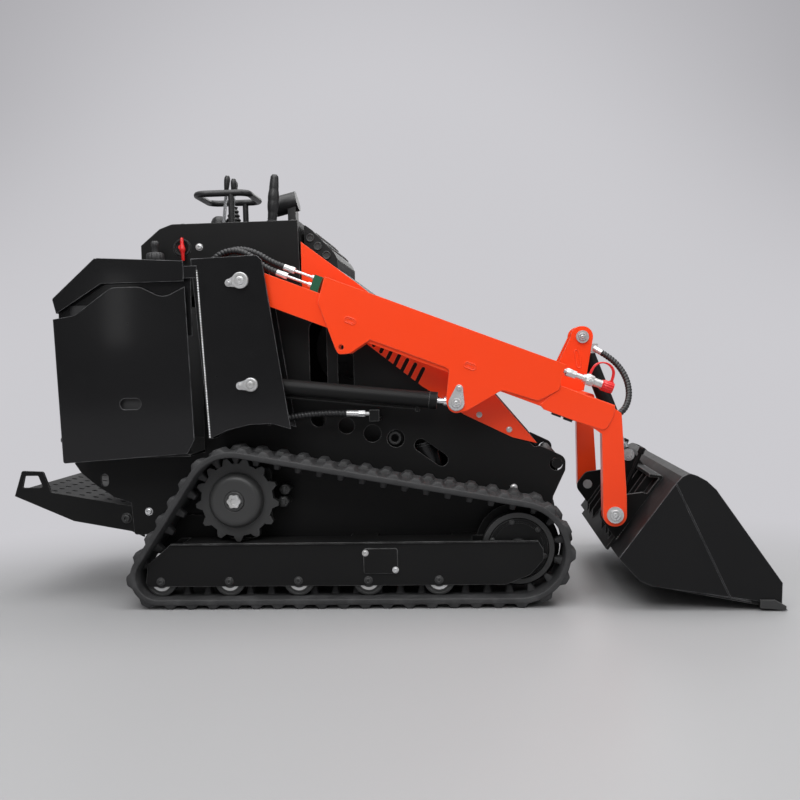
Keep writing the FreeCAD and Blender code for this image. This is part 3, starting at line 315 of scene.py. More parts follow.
def waves(depth, number):
    # radius factor that swings by the depth, that number of times in a turn
    return lambda angle: 1 + depth * np.cos(number * angle)


def capped(grid, path):
    # a tube's rows, closed by a row gathered on each end of its path
    ends = [np.repeat(path[k][None, None], grid.shape[1], 1) for k in (0, -1)]
    return np.concatenate([ends[0], grid, ends[1]])


def superRound(angle, power):
    # rounded square: cosine and sine of the angle, each with its sign and raised to two over the power
    c, s = np.cos(angle), np.sin(angle)
    return np.sign(c) * np.abs(c) ** (2 / power), np.sign(s) * np.abs(s) ** (2 / power)


# wheels: x, z and belt radius of the drive wheel, the idler and the rear bend
# rows of blocks: half length at foot and crown, height of foot and crown, inner and outer edge, offset in
# pitches and points round a block; the last row holds the drive lugs
trackForm = {
    "wheels": ((-0.461, 0.35, 0.14796), (0.47, 0.18, 0.146), (-0.716, 0.106, 0.072)),
    "middle": 0.43, "half": 0.1, "belt": 0.02, "rimRound": 0.0045, "pitches": 45, "bandSteps": 450,
    "rows": [(0.0305, 0.0125, 0.017, 0.0342, 0.004, 0.0985, 0.0, 24),
        (0.0305, 0.0125, 0.017, 0.0342, -0.0985, -0.004, 0.5, 24),
        (0.0155, 0.0095, 0.002, -0.026, -0.0215, 0.0215, 0.0, 16)],
    "taper": 0.004, "power": 5.0,
}
# a block from foot to crown: share of its taper, its height, its flare from foot to crown, and its size
blockRows = np.array([(0, 0, 0, 1), (0.18, 0.22, 0.30, 1), (0.5, 0.55, 0.68, 1), (0.82, 0.86, 0.94, 1),
        (0.94, 0.96, 1, 0.97), (1, 1, 1, 0.86), (1, 1, 1, 0)])


class BeltLine:
    # the belt's inner line: arcs on the wheels joined by tangent runs, walked clockwise seen from -Y
    def __init__(self, wheels):
        self.parts, self.length = [], 0.0
        runs = []
        for i in range(len(wheels)):
            (x1, z1, r1), (x2, z2, r2) = wheels[i], wheels[(i + 1) % len(wheels)]
            gap = math.hypot(x2 - x1, z2 - z1)
            ax, az = (x2 - x1) / gap, (z2 - z1) / gap
            lean = (r1 - r2) / gap
            rise = math.sqrt(1 - lean * lean)
            runs.append((ax * lean - az * rise, az * lean + ax * rise, gap * rise))
        for i, (x, z, r) in enumerate(wheels):
            enter = math.atan2(runs[i - 1][1], runs[i - 1][0])
            leave = math.atan2(runs[i][1], runs[i][0])
            turn = (enter - leave) % (2 * math.pi)
            self.parts.append((self.length, x, z, r, enter, turn, runs[i]))
            self.length += r * turn + runs[i][2]

    def at(self, distance):
        # on an arc the point turns back from the entering angle by distance over radius; past the arc it
        # goes on straight from the arc's end
        d = np.mod(distance, self.length)
        x, z, nx, nz = (np.zeros_like(d) for _ in range(4))
        for begin, cx, cz, r, enter, turn, (ox, oz, span) in self.parts:
            here = (d >= begin - 1e-9) & (d < begin + r * turn + span - 1e-9)
            past = np.maximum(d - begin - r * turn, 0)
            angle = enter - np.minimum(d - begin, r * turn) / r
            x = np.where(here, cx + r * np.cos(angle) + oz * past, x)
            z = np.where(here, cz + r * np.sin(angle) - ox * past, z)
            nx, nz = np.where(here, np.cos(angle), nx), np.where(here, np.sin(angle), nz)
        return x, z, nx, nz

    def lift(self, distance, up, y):
        # a point at a distance along the belt, raised along its outward normal
        x, z, nx, nz = self.at(distance)
        return np.stack([x + nx * up, np.broadcast_to(y, x.shape), z + nz * up], -1)


beltLine = BeltLine(trackForm["wheels"])


def treadBlocks(side, footHalf, topHalf, low, high, inner, outer, offset, around):
    # rounded blocks: the half length goes from foot to crown as the flare says, the width loses the taper,
    # and the crown closes on its middle; all blocks of a row are one array
    taper, rise, flare, size = blockRows.T
    up = low + (high - low) * rise
    long = (footHalf + (topHalf - footHalf) * flare) * size
    wide = ((outer - inner) / 2 - trackForm["taper"] * taper) * size
    angle = np.linspace(0, 2 * np.pi, around, endpoint=False) + np.pi / around
    c, s = superRound(angle, trackForm["power"])
    pitch = beltLine.length / trackForm["pitches"]
    middle = (np.arange(trackForm["pitches"]) + offset) * pitch
    along = middle[:, None, None] + long[:, None] * c
    across = (inner + outer) / 2 + wide[:, None] * s
    height = np.broadcast_to(up[:, None], along.shape)
    grids = beltLine.lift(along, height, side * (trackForm["middle"] - across))
    return [(grid, False, True) for grid in grids]


def beltBand(side):
    # the belt's section, an oblong with four rounded corners, carried along the loop
    half, thick, r = trackForm["half"], trackForm["belt"], trackForm["rimRound"]
    turn = np.linspace(0, np.pi / 2, 4) + np.arange(4)[:, None] * np.pi / 2
    across = (np.array((1, -1, -1, 1))[:, None] * (half - r) + r * np.cos(turn)).ravel()
    up = (np.array((thick - r, thick - r, r, r))[:, None] + r * np.sin(turn)).ravel()
    distance = np.linspace(0, beltLine.length, trackForm["bandSteps"], endpoint=False)
    d, across = np.meshgrid(distance, across, indexing="ij")
    return beltLine.lift(d, np.broadcast_to(up, d.shape), side * trackForm["middle"] + across), True, True


for side, word in bothWays:
    patches = [beltBand(side)]
    for row in trackForm["rows"]:
        patches += treadBlocks(side, *row)
    piece = buildMesh("trackBelt_" + word, patches, "track_rubber", 40)
    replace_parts(piece, "track_" + word)
print("tracks: loop of", round(beltLine.length, 4), "m")

# profiles beyond the crown are given from the cover's depth
coverForm = {
    "at": (-0.461, 0.445, 0.35), "radius": 0.0915, "depth": 0.037, "crown": 0.026,
    "boss": [(0.036, 0.0015), (0.0345, 0.0005), (0.034, -0.001), (0.0325, -0.001), (0.0315, 0.004),
        (0.03, 0.005), (0.026, 0.005), (0.0245, 0.003), (0, 0.003)],
    "nut": [(0, 0.002), (0.0225, 0.002), (0.0225, 0.009), (0.021, 0.0115), (0.011, 0.0125), (0.01, 0.0095),
        (0, 0.0095)],
    "lobes": (0.09, 6),
}


def driveCover():
    # a straight wall, a quarter circle over to the crown, and the boss with its groove; the nut has six lobes
    r, d, k = coverForm["radius"], coverForm["depth"], coverForm["crown"]
    bend = np.linspace(0, np.pi / 2, 9)[1:]
    dome = [(0, -0.001), (r, -0.001), (r, 0), (r, d - k)]
    dome += [(r - k + k * math.cos(b), d - k + k * math.sin(b)) for b in bend]
    dome += [(a, d + h) for a, h in coverForm["boss"]]
    nut = [(a, d + h) for a, h in coverForm["nut"]]
    x, y, z = coverForm["at"]
    for side, word in bothWays:
        at, out = (x, side * y, z), (0, side, 0)
        cover = buildMesh("driveCover_" + word, [turned(dome, at, out, 72)], "cast_parts", 30)
        if side < 0:
            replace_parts(cover, "hub_covers")
        nuts = [turned(nut, at, out, 60, waves(*coverForm["lobes"]))]
        buildMesh("driveNut_" + word, nuts, "zinc", 50)


driveCover()


def flatRoute(y, *spots):
    # a route whose spots (x, z) lie in the plane of that y
    return [(x, y, z) for x, z in spots]


# a hose's half width, spiral pitch and groove depth; then each one's sides, the bodies that it joins, and its
# route as seen on the left side
hose = dict(radius=0.0112, wrap=(0.0115, 0.0022), finish="hose_black")
boomHose = dict(hose, sides=(1, -1), node="boom_hoses", bodies=("chassis", "boom"))
tether = dict(radius=0.0025, wrap=(0.006, 0), finish="red_plastic", node="coupler_tethers", sides=(-1,),
        bodies=("boom",))
tetherSpots = [(0.7157, 0.7432), (0.7245, 0.7655), (0.7441, 0.7794), (0.7681, 0.7788), (0.7869, 0.7639),
        (0.7929, 0.7406), (0.7841, 0.7183)]
hoseForms = {
    "boomHoseLow": dict(boomHose, route=flatRoute(
        0.428, (-0.3075, 1.1032), (-0.3447, 1.1179), (-0.38, 1.151), (-0.4199, 1.175), (-0.4599, 1.181),
        (-0.4983, 1.1699), (-0.5286, 1.1438), (-0.5453, 1.1074), (-0.5453, 1.0674))),
    "boomHoseHigh": dict(boomHose, route=flatRoute(
        0.404, (-0.2868, 1.123), (-0.3296, 1.1399), (-0.3677, 1.1656), (-0.4086, 1.1829), (-0.4504, 1.187),
        (-0.4884, 1.1743), (-0.518, 1.1475), (-0.5342, 1.1109), (-0.5342, 1.0709))),
    "sideHose": dict(hose, sides=(-1,), node="side_hose", bodies=("chassis",), route=flatRoute(
        0.4, (-0.34, 0.609), (-0.3007, 0.6166), (-0.2583, 0.6234), (-0.2145, 0.6283), (-0.1716, 0.631),
        (-0.1296, 0.6313), (-0.0897, 0.6299))),
    "frontHose": dict(hose, sides=(-1,), node="front_hose", bodies=("boom",), route=[
        (0.796, 0.078, 0.812), (0.828, 0.092, 0.79), (0.858, 0.112, 0.754), (0.876, 0.138, 0.71),
        (0.878, 0.168, 0.663), (0.862, 0.2, 0.622), (0.8334, 0.2193, 0.5979), (0.7967, 0.2294, 0.5853),
        (0.759, 0.2294, 0.5853)]),
    "tetherNear": dict(tether, route=flatRoute(0.434, *tetherSpots)),
    "tetherFar": dict(tether, route=flatRoute(0.398, *tetherSpots)),
}


def routeLine(route):
    # points of the smooth curve (NURBS of order 3) whose control points are the route's
    curve = bpy.data.curves.new("route", "CURVE")
    curve.dimensions = "3D"
    curve.resolution_u = 14
    spline = curve.splines.new("NURBS")
    spline.points.add(len(route) - 1)
    spline.points.foreach_set("co", np.array([(*place, 1.0) for place in route]).ravel())
    spline.order_u = 3
    spline.use_endpoint_u = True
    holder = bpy.data.objects.new("route", curve)
    mesh = bpy.data.meshes.new_from_object(holder)
    line = np.empty(len(mesh.vertices) * 3, np.float32)
    mesh.vertices.foreach_get("co", line)
    bpy.data.objects.remove(holder)
    bpy.data.curves.remove(curve)
    bpy.data.meshes.remove(mesh)
    return line.reshape(-1, 3).astype(float)


def alongLine(line, step):
    # the line resampled at an even step, with its length, and side and upright vectors that turn with it:
    # the side is the normal of the plane that the line bends in, less its part along the line
    reach = np.concatenate([[0], np.cumsum(np.linalg.norm(np.diff(line, axis=0), axis=1))])
    s = np.linspace(0, reach[-1], max(8, int(reach[-1] / step)))
    spot = np.stack([np.interp(s, reach, line[:, k]) for k in range(3)], -1)
    along = np.gradient(spot, axis=0)
    along /= np.linalg.norm(along, axis=1)[:, None]
    flat = np.cross(along[len(along) // 2], along[0])
    flat = flat / np.linalg.norm(flat) if np.linalg.norm(flat) > 1e-6 else np.array((0, 1.0, 0))
    side = flat - (along * (along @ flat)[:, None])
    side /= np.linalg.norm(side, axis=1)[:, None]
    return s, spot, side, np.cross(along, side), reach[-1]


def wrappedTube(line, radius, pitch, depth, bell=0.16, steps=7, around=14):
    # tube with a groove that winds round it once a pitch: the radius loses the depth in a bell shape, by
    # the distance to the groove in turns
    s, spot, side, rise, length = alongLine(line, pitch / steps)
    angle = np.linspace(0, 2 * np.pi, around, endpoint=False)
    turns = s[:, None] / pitch - angle / (2 * np.pi)
    r = radius - depth * np.exp(-((((turns % 1) - 0.5) / bell) ** 2))
    ring = side[:, None] * np.cos(angle)[:, None] + rise[:, None] * np.sin(angle)[:, None]
    return capped(spot[:, None] + r[..., None] * ring, spot), length


for name, form in hoseForms.items():
    for side in form["sides"]:
        route = [(x, side * y, z) for x, y, z in form["route"]]
        line = routeLine(route)
        radius, bodies = form["radius"], form["bodies"]
        crosses = len(bodies) > 1
        grid, length = wrappedTube(line, radius, *form["wrap"])
        word = name if len(form["sides"]) == 1 else name + ("_left" if side > 0 else "_right")
        piece = buildMesh(word, [(grid, False, True)], form["finish"], 60, None if crosses else bodies[0])
        2 * radius
        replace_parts(piece, form["node"])
        if crosses:
            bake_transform(piece)
print("hoses:", len(hoseForms))


def boltHead(radius, height):
    # button head: a flat washer, a rounded shoulder and a shallow recess, as shares of radius and height
    shares = [(1.25, 0.22), (1, 0.24), (1, 0.55), (0.9, 0.85), (0.68, 1), (0.42, 1), (0.36, 0.55), (0, 0.55)]
    return [(0, -0.0005), (radius * 1.25, -0.0005)] + [(radius * a, height * b) for a, b in shares]


# each set: its places on the left side, and the radius and height of a head
boltSets = {
    "rollerBolts": dict(places=[(-0.716 + i * 0.2315, 0.488, 0.0853) for i in range(5)],
        head=(0.0115, 0.009), finish="cast_parts"),
    "coverBolts": dict(places=[(-0.029, 0.492, 0.176), (0.069, 0.492, 0.12)], head=(0.0085, 0.007)),
    "plateBolts": dict(places=[(0.464, 0.318, 0.362)], head=(0.01, 0.008)),
    "platformBolts": dict(places=[(-0.805, 0.318, 0.296)], head=(0.011, 0.01)),
    "platformPins": dict(places=[(-0.8883, 0.31, 0.2726)], head=(0.015, 0.014), finish="cast_parts"),
    "rearWallBolts": dict(places=[(-1.0565, 0.43, 0.56), (-1.0565, 0.43, 0.92), (-1.0565, 0.15, 0.56)],
        head=(0.009, 0.007), finish="cast_parts", facing=(-1, 0, 0)),
    "deckBolts": dict(places=[(-0.275, 0.29, 1.2885), (-0.66, 0.29, 1.2885)], head=(0.008, 0.006),
        finish="cast_parts", facing=(0, 0, 1)),
    "consoleBolts": dict(places=[(-0.595, 0.324, 1.208)], head=(0.01, 0.008)),
    "skirtBolts": dict(places=[(0.352, 0.323, 0.612), (0.452, 0.323, 0.56)], head=(0.008, 0.006)),
}
for name, form in boltSets.items():
    patches = bothSides(boltHead(*form["head"]), form["places"], 28, form.get("facing"))
    buildMesh(name, patches, form.get("finish", "zinc"), 35)
print("bolts placed")

# each row: x, y and z of a pin's end, and its radius
pinFaces = {
    "towerPinFaces": dict(rows=[(-0.421, 0.48, 1.077, 0.0265), (-0.396, 0.48, 0.734, 0.0225)]),
    "keeperBolts": dict(rows=[(-0.459, 0.476, 1.07, 0.0095), (-0.432, 0.476, 0.731, 0.0095)]),
    "boomPinFaces": dict(body="boom", rows=[(0.278, 0.462, 0.659, 0.0155), (0.729, 0.076, 0.872, 0.0135)]),
    "bucketPinFaces": dict(body="bucket", rows=[(0.785, 0.456, 0.284, 0.0175)]),
}


def scaled(profile, radius):
    # the profile with its shares made radii
    return [(radius * share, height) for share, height in profile]


def pinFace(radius):
    # turned end of a pin: chamfer, flat ring, groove, low boss and a centre hole, with shares of the radius
    rings = [(1, -0.0006), (1, 0.0015), (0.93, 0.003), (0.66, 0.003), (0.61, 0.0008), (0.54, 0.0008),
             (0.49, 0.0045), (0.34, 0.0055), (0.14, 0.0055), (0.11, 0.003)]
    return [(0, -0.0006)] + scaled(rings, radius) + [(0, 0.003)]


for name, form in pinFaces.items():
    patches = []
    for x, y, z, r in form["rows"]:
        patches += bothSides(pinFace(r), [(x, y, z)], 40)
    buildMesh(name, patches, "zinc", 30, form.get("body", "chassis"))

# profiles of the rollers' and idlers' faces give shares of the radius, and heights in metres
wheelForm = {
    "rollers": [(-0.716 + i * 0.2315, 0.479, 0.0853) for i in range(5)], "rollerRadius": 0.0505,
    "rollerFace": [(0, -0.001), (1, -0.001), (1, 0.0004), (0.95, 0.0009), (0.86, 0.0009), (0.84, -0.0008),
        (0.74, -0.0008), (0.72, 0.0009), (0, 0.0009)],
    "rollerSeal": [(0.66, 0.0004), (0.66, 0.0012), (0.48, 0.0012), (0.48, 0.0004)],
    "idler": (0.47, 0.449, 0.18), "idlerRadius": 0.1,
    "idlerFace": [(0, -0.001), (1, -0.001), (1, 0.002), (0.96, 0.0045), (0.86, 0.0045), (0.82, 0.002),
        (0.60, 0.0042), (0.42, 0.006), (0, 0.006)],
    "idlerBolt": (0.0075, 0.006), "boltCircle": 0.088, "boltTurn": -0.30, "boltSeat": 0.0045,
    "ports": [(-0.3081, 0.317, 0.3762), (-0.3141, 0.317, 0.3345)],
    "port": [(0, 0), (0.015, 0), (0.015, 0.06), (0.019, 0.061), (0.019, 0.074), (0.016, 0.078),
        (0.009, 0.08), (0.009, 0.086), (0, 0.088)],
}


def wheelFaces():
    # turned faces on the rollers and idlers, six bolts on a circle, and the drive motors' two ports
    form = wheelForm
    for face, finish in (("rollerFace", "cast_parts"), ("rollerSeal", "zinc")):
        patches = bothSides(scaled(form[face], form["rollerRadius"]), form["rollers"], 56)
        buildMesh(face + "s", patches, finish, 30)
    x, y, z = form["idler"]
    patches = bothSides(scaled(form["idlerFace"], form["idlerRadius"]), [(x, y, z)], 90)
    buildMesh("idlerDiscs", patches, "black_paint", 25)
    angles, far = np.arange(6) * math.pi / 3 + form["boltTurn"], form["boltCircle"]
    spots = [(x + far * math.cos(a), y + form["boltSeat"], z + far * math.sin(a)) for a in angles]
    buildMesh("idlerBolts", bothSides(boltHead(*form["idlerBolt"]), spots, 24), "cast_parts", 35)
    patches = bothSides(form["port"], form["ports"], 36, None, waves(0.05, 6))
    buildMesh("motorPorts", patches, "cast_parts", 35)


wheelFaces()

# each lever: x, y, lean, rise and how tall its boot is, as a share of the usual one
controlForm = {
    "levers": [(-0.577, -0.06, 0.023, 0.211, 0.6), (-0.552, 0.0, 0.006, 0.209, 1.7),
        (-0.577, 0.06, 0.023, 0.211, 0.6)],
    "deck": 1.289, "stem": 0.006, "footRadius": 0.036, "folds": (0.027, 0.017, 0.0018, 6), "bootTall": 0.056,
    "knobTall": 0.056,
    "knob": [(0, 0), (0.007, 0), (0.0082, 0.003), (0.01, 0.02), (0.0112, 0.038), (0.0104, 0.047),
        (0.007, 0.0545), (0, 0.056)],
    "gripFoot": (-0.393, -0.06, 1.315), "gripTop": (-0.378, -0.06, 1.496),
    "palm": (0.015, 0.005, 0.0012, 0.014), "palmCrown": [(0.0145, -0.008), (0.009, -0.001), (0, 0)],
    "gripBoot": (1.15, 0.9),
    "dome": [(0, 0), (0.031, 0), (0.0315, 0.036), (0.0295, 0.05), (0.0235, 0.062), (0.0135, 0.069),
        (0, 0.071)],
    "domeAt": (-0.606, 0.0, 1.289),
    "box": [(0, 0), (0.062, 0), (0.062, 0.014), (0.056, 0.02), (0, 0.02)], "boxPower": 6,
    "switch": (-0.655, -0.317, 1.207),
    "seat": [(0, 0), (0.031, 0), (0.031, 0.009), (0.028, 0.0115), (0.0245, 0.0115), (0.0225, 0.006),
        (0, 0.006)],
    "keyAt": (-0.649, -0.343, 1.2), "keyAxis": (-0.04, 0, 1), "stubAt": (-0.655, -0.32, 1.207),
    "key": [(0, -0.04), (0.0045, -0.0395), (0.0056, -0.036), (0.006, -0.02), (0.0068, -0.01),
        (0.0095, -0.004), (0.0098, 0.003), (0.0074, 0.01), (0.0058, 0.022), (0.0054, 0.036),
        (0.0042, 0.0395), (0, 0.04)],
    "stub": [(0, 0), (0.008, 0), (0.008, 0.026), (0, 0.026)],
    "filler": (-0.735, 0.374, 1.0),
    "neck": [(0, 0), (0.02, 0), (0.02, 0.15), (0.0235, 0.152), (0.0235, 0.16), (0, 0.16)],
    "lid": [(0, 0.158), (0.0285, 0.158), (0.03, 0.162), (0.029, 0.182), (0.025, 0.187), (0.011, 0.189),
        (0.01, 0.205), (0.013, 0.21), (0.013, 0.222), (0.009, 0.227), (0, 0.228)],
    "lidRibs": (0.035, 16),
}


def levers():
    # bellows: the radius narrows evenly upwards while a cosine of six turns swings it
    form, deck, up = controlForm, controlForm["deck"], (0, 0, 1)
    t = np.linspace(0, 1, 41)
    wide, narrowing, swing, number = form["folds"]
    radius = wide - narrowing * t + swing * np.cos(2 * number * np.pi * t)
    bellows = [(0, 0), (form["footRadius"], 0), (form["footRadius"], 0.004)]
    bellows += list(zip(radius, form["bootTall"] * t + 0.004)) + [(0, form["bootTall"] + 0.0045)]
    boots, stems, grips = [], [], []
    for x, y, lean, rise, tall in form["levers"]:
        foot, axis = (x, y, deck), (lean, 0.0, rise)
        boots.append(turned([(r * (0.5 + 0.5 * tall), h * tall) for r, h in bellows], foot, axis, 40))
        rod = [(0, 0.01), (form["stem"], 0.01), (form["stem"], rise - 0.04), (0, rise - 0.04)]
        stems.append(turned(rod, foot, axis, 24))
        grips.append(turned([(r, h + rise - form["knobTall"]) for r, h in form["knob"]], foot, axis, 32))
    foot, head = np.array(form["gripFoot"]), np.array(form["gripTop"])
    tall = float(np.linalg.norm(head - foot))
    # palm grip: the square of a sine of half a turn swells it once, the absolute value of a sine of two
    # turns gives four finger places, and a rounded crown closes it
    thin, swell, fingers, short = form["palm"]
    radius = thin + swell * np.sin(np.pi * t) ** 2 + fingers * np.abs(np.sin(4 * np.pi * t))
    palm = [(0, 0)] + list(zip(radius, t * (tall - short)))
    palm += [(r, tall + h) for r, h in form["palmCrown"]]
    grips.append(turned(palm, foot, head - foot, 40))
    wider, lower = form["gripBoot"]
    boots.append(turned([(r * wider, h * lower) for r, h in bellows], (foot[0], foot[1], deck), up, 40))
    boots.append(turned(form["dome"], form["domeAt"], up, 48))
    # the grip's box is a rounded square: one over the nth root of the summed nth powers of cosine and sine
    n = form["boxPower"]
    square = lambda a: 1 / (np.abs(np.cos(a)) ** n + np.abs(np.sin(a)) ** n) ** (1 / n)
    boots.append(turned(form["box"], (foot[0] - 0.005, foot[1], deck), up, 64, square))
    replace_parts(buildMesh("leverBoots", boots, "handle_plastic", 40), "control_levers")
    buildMesh("leverStems", stems, "rod_chrome", 40)
    buildMesh("leverGrips", grips, "handle_plastic", 40)


def switchAndLids():
    form, out, up = controlForm, (0, -1, 0), (0, 0, 1)
    seat = [turned(form["seat"], form["switch"], out, 48)]
    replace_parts(buildMesh("switchSeat", seat, "black_paint", 35), "battery_switch")
    patches = [turned(form["key"], form["keyAt"], form["keyAxis"], 28)]
    patches.append(turned(form["stub"], form["stubAt"], out, 28))
    buildMesh("switchKey", patches, "red_plastic", 45)
    patches = bothSides(form["neck"], [form["filler"]], 36, up)
    patches += bothSides(form["lid"], [form["filler"]], 96, up, waves(*form["lidRibs"]))
    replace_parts(buildMesh("fillerLids", patches, "tank_plastic", 40), "filler_caps")


levers()
switchAndLids()
print("controls placed")


def planarTube(path, radius, closed=False, pitch=1.0, swell=0.0, around=10):
    # tube along a path of constant y: circles across it, whose radius a cosine of the distance swings once
    # a pitch, for a weld's ripples
    path = np.asarray(path, float)
    ahead = (np.roll(path, -1, 0) - np.roll(path, 1, 0)) if closed else np.gradient(path, axis=0)
    ahead /= np.linalg.norm(ahead, axis=1, keepdims=True)
    across = np.cross(ahead, (0, 1.0, 0))
    s = np.concatenate([[0], np.cumsum(np.linalg.norm(np.diff(path, axis=0), axis=1))])
    r = radius * (1 + swell * np.cos(2 * np.pi * s / pitch))
    b = np.linspace(0, 2 * np.pi, around, endpoint=False)[:, None]
    ring = across[:, None] * np.cos(b) + np.array((0, 1.0, 0)) * np.sin(b)
    grid = path[:, None] + r[:, None, None] * ring
    return grid if closed else capped(grid, path), closed, True


def straight(a, b, step):
    # even points from a to b, about a step apart
    a, b = np.array(a), np.array(b)
    count = max(2, int(np.linalg.norm(b - a) / step))
    return a + (b - a) * np.linspace(0, 1, count)[:, None]


def stadium(centre, along, half, radius, count=24):
    # closed outline of two half circles of that radius, their centres a half length from the middle
    along = np.array((along[0], 0.0, along[1])) / math.hypot(*along)
    across = np.cross(along, (0, 1.0, 0))
    a = np.linspace(-np.pi / 2, np.pi / 2, count)[:, None]
    near = half * along + radius * (np.cos(a) * along + np.sin(a) * across)
    far = -half * along - radius * (np.cos(a) * along + np.sin(a) * across)
    return np.array(centre) + np.concatenate([near, far])


# straight beads, the welds and a near-black bead on the bucket's crease that is painted shade: the ends of
# one on the left side, the ripples' pitch and swell, and the bead's radius
weldsAndCreaseShade = {
    "panelWelds": dict(body="chassis", finish="zinc", pitch=0.0085, swell=0.55, radius=0.0026,
        start=(-0.5664, 0.4705, 1.115), end=(-0.539, 0.4705, 0.561)),
    # near-black bead along the bucket's side crease: painted shade standing in for the shadow in the crease
    "bucketCreases": dict(body="bucket", finish="hose_black", pitch=0.06, swell=0.0, radius=0.0022,
        start=(0.956, 0.575, 0.398), end=(1.12, 0.575, 0.033)),
    "carrierWelds": dict(body="bucket", finish="zinc", pitch=0.009, swell=0.45, radius=0.0026,
        start=(0.7979, 0.378, 0.1921), end=(0.9293, 0.378, 0.3535)),
}
for name, form in weldsAndCreaseShade.items():
    patches = []
    for side in (-1, 1):
        path = straight(form["start"], form["end"], form["pitch"] / 6) * (1, side, 1)
        patches.append(planarTube(path, form["radius"], False, form["pitch"], form["swell"]))
    buildMesh(name, patches, form["finish"], 60, form["body"])

# rims of the boom's slots: middle, direction, half length and the radii of outline and bead
boomSlots = [
    ((-0.0645, 0.452, 0.9366), (0.9307, -0.3657), 0.01, ((0.0095, 0.0022), (0.0045, 0.001))),
    ((0.3249, 0.452, 0.7785), (0.9307, -0.3657), 0.01, ((0.0095, 0.0022), (0.0045, 0.001))),
    ((0.7109, 0.0662, 0.7919), (0.008, -0.0507), 0.0254, ((0.0075, 0.0022),)),
]
patches = []
for (x, y, z), along, half, beads in boomSlots:
    for side in (-1, 1):
        for outline, bead in beads:
            patches.append(planarTube(stadium((x, side * y, z), along, half, outline), bead, True))
buildMesh("boomSlots", patches, "orange_paint", 60, "boom")


def plateOf(outline, y0, y1, bevel):
    # flat plate between two depths: its outline, pulled in by the bevel on the outer face, and closed by
    # rows gathered in the middle
    flat = np.asarray(outline, float)
    middle = flat.mean(0)
    reach = np.linalg.norm(flat - middle, axis=1, keepdims=True)
    small = middle + (flat - middle) * (1 - bevel / reach)
    gathered, shoulder = flat * 0 + middle, y1 - math.copysign(bevel, y1 - y0)
    rows = [np.stack([points[:, 0], np.full(len(points), y), points[:, 1]], -1) for points, y in
            ((gathered, y0), (flat, y0), (flat, shoulder), (small, y1), (gathered, y1))]
    return np.stack(rows), False, True


def eggShape(near, nearR, far, farR, count=20):
    # outline round two discs, with straight tangents between them
    near, far = np.array(near), np.array(far)
    gap = far - near
    lean = math.acos((nearR - farR) / float(np.linalg.norm(gap)))
    face = math.atan2(gap[1], gap[0])
    a = np.linspace(face + lean, face + 2 * np.pi - lean, count)[:, None]
    b = np.linspace(face - lean, face + lean, count)[:, None]
    return np.concatenate([near + nearR * np.concatenate([np.cos(a), np.sin(a)], 1),
                           far + farR * np.concatenate([np.cos(b), np.sin(b)], 1)])


def disc(x, z, radius, count):
    # even points on a circle
    angle = np.arange(count) * 2 * math.pi / count
    return np.stack([x + radius * np.cos(angle), z + radius * np.sin(angle)], -1)


# plates on both sides, unless sides says otherwise: depths of the two faces, bevel and outlines in x and z
flatPlates = {
    "idlerShields": dict(finish="black_paint", y=(0.371, 0.378), bevel=0.0012,
        outlines=[disc(0.47, 0.18, 0.139, 72)]),
    "rearGuards": dict(finish="black_paint", y=(0.318, 0.33), bevel=0.0012,
        outlines=[[(-0.726, 0.285), (-0.56, 0.285), (-0.56, 0.15), (-0.782, 0.15)]]),
    "edgeEnds": dict(finish="cast_parts", body="bucket", y=(0.574, 0.5815), bevel=0.0015,
        outlines=[[(1.205, 0.01), (1.284, 0.003), (1.284, 0.016), (1.25, 0.036), (1.205, 0.036)]]),
    "eyeKeepers": dict(finish="zinc", body="boom", y=(0.4515, 0.458), bevel=0.0012,
        outlines=[eggShape((0.278, 0.659), 0.0265, (0.288, 0.706), 0.0125)]),
    "legCheeks": dict(finish="orange_paint", body="boom", y=(0.443, 0.448), bevel=0.0016,
        outlines=[[(0.62, 0.707), (0.703, 0.6735), (0.789, 0.6395), (0.7905, 0.628), (0.785, 0.605),
        (0.768, 0.572), (0.76, 0.564), (0.749, 0.561), (0.67, 0.588), (0.56, 0.632), (0.548, 0.648)]]),
    "boomClips": dict(finish="handle_plastic", body="boom", y=(0.405, 0.438), bevel=0.0015, sides=(-1,),
        outlines=[[(0.591, 0.626), (0.619, 0.615), (0.615, 0.603), (0.587, 0.614)],
        [(0.63, 0.611), (0.656, 0.601), (0.651, 0.587), (0.625, 0.597)]]),
    "keeperHeads": dict(finish="zinc", body="boom", y=(0.4575, 0.464), bevel=0.002,
        outlines=[disc(0.288, 0.706, 0.0078, 24)]),
}
for name, form in flatPlates.items():
    near, far = form["y"]
    patches = [plateOf(line, s * near, s * far, form["bevel"])
               for line in form["outlines"] for s in form.get("sides", (1, -1))]
    buildMesh(name, patches, form["finish"], 30, form.get("body", "chassis"))

# rings round the hump's vents: on its two slopes, each from one (x, z) to the next, and on its sides
humpForm = {
    "ring": [(0, 0.0008), (0.0095, 0.0008), (0.011, 0.004), (0.014, 0.004), (0.0155, -0.0005)],
    "slopes": [((-0.215, 1.263), (-0.181, 1.227)), ((-0.181, 1.227), (-0.14, 1.184))],
    "across": np.linspace(-0.216, 0.216, 9),
    "sides": [(-0.222, 0.25, 1.236), (-0.196, 0.25, 1.206), (-0.166, 0.25, 1.174)],
}
patches = []
for (x0, z0), (x1, z1) in humpForm["slopes"]:
    for y in humpForm["across"]:
        at = ((x0 + x1) / 2, y, (z0 + z1) / 2)
        patches.append(turned(humpForm["ring"], at, (z0 - z1, 0.0, x1 - x0), 28))
patches += bothSides(humpForm["ring"], humpForm["sides"], 28)
buildMesh("humpRings", patches, "cast_parts", 35)

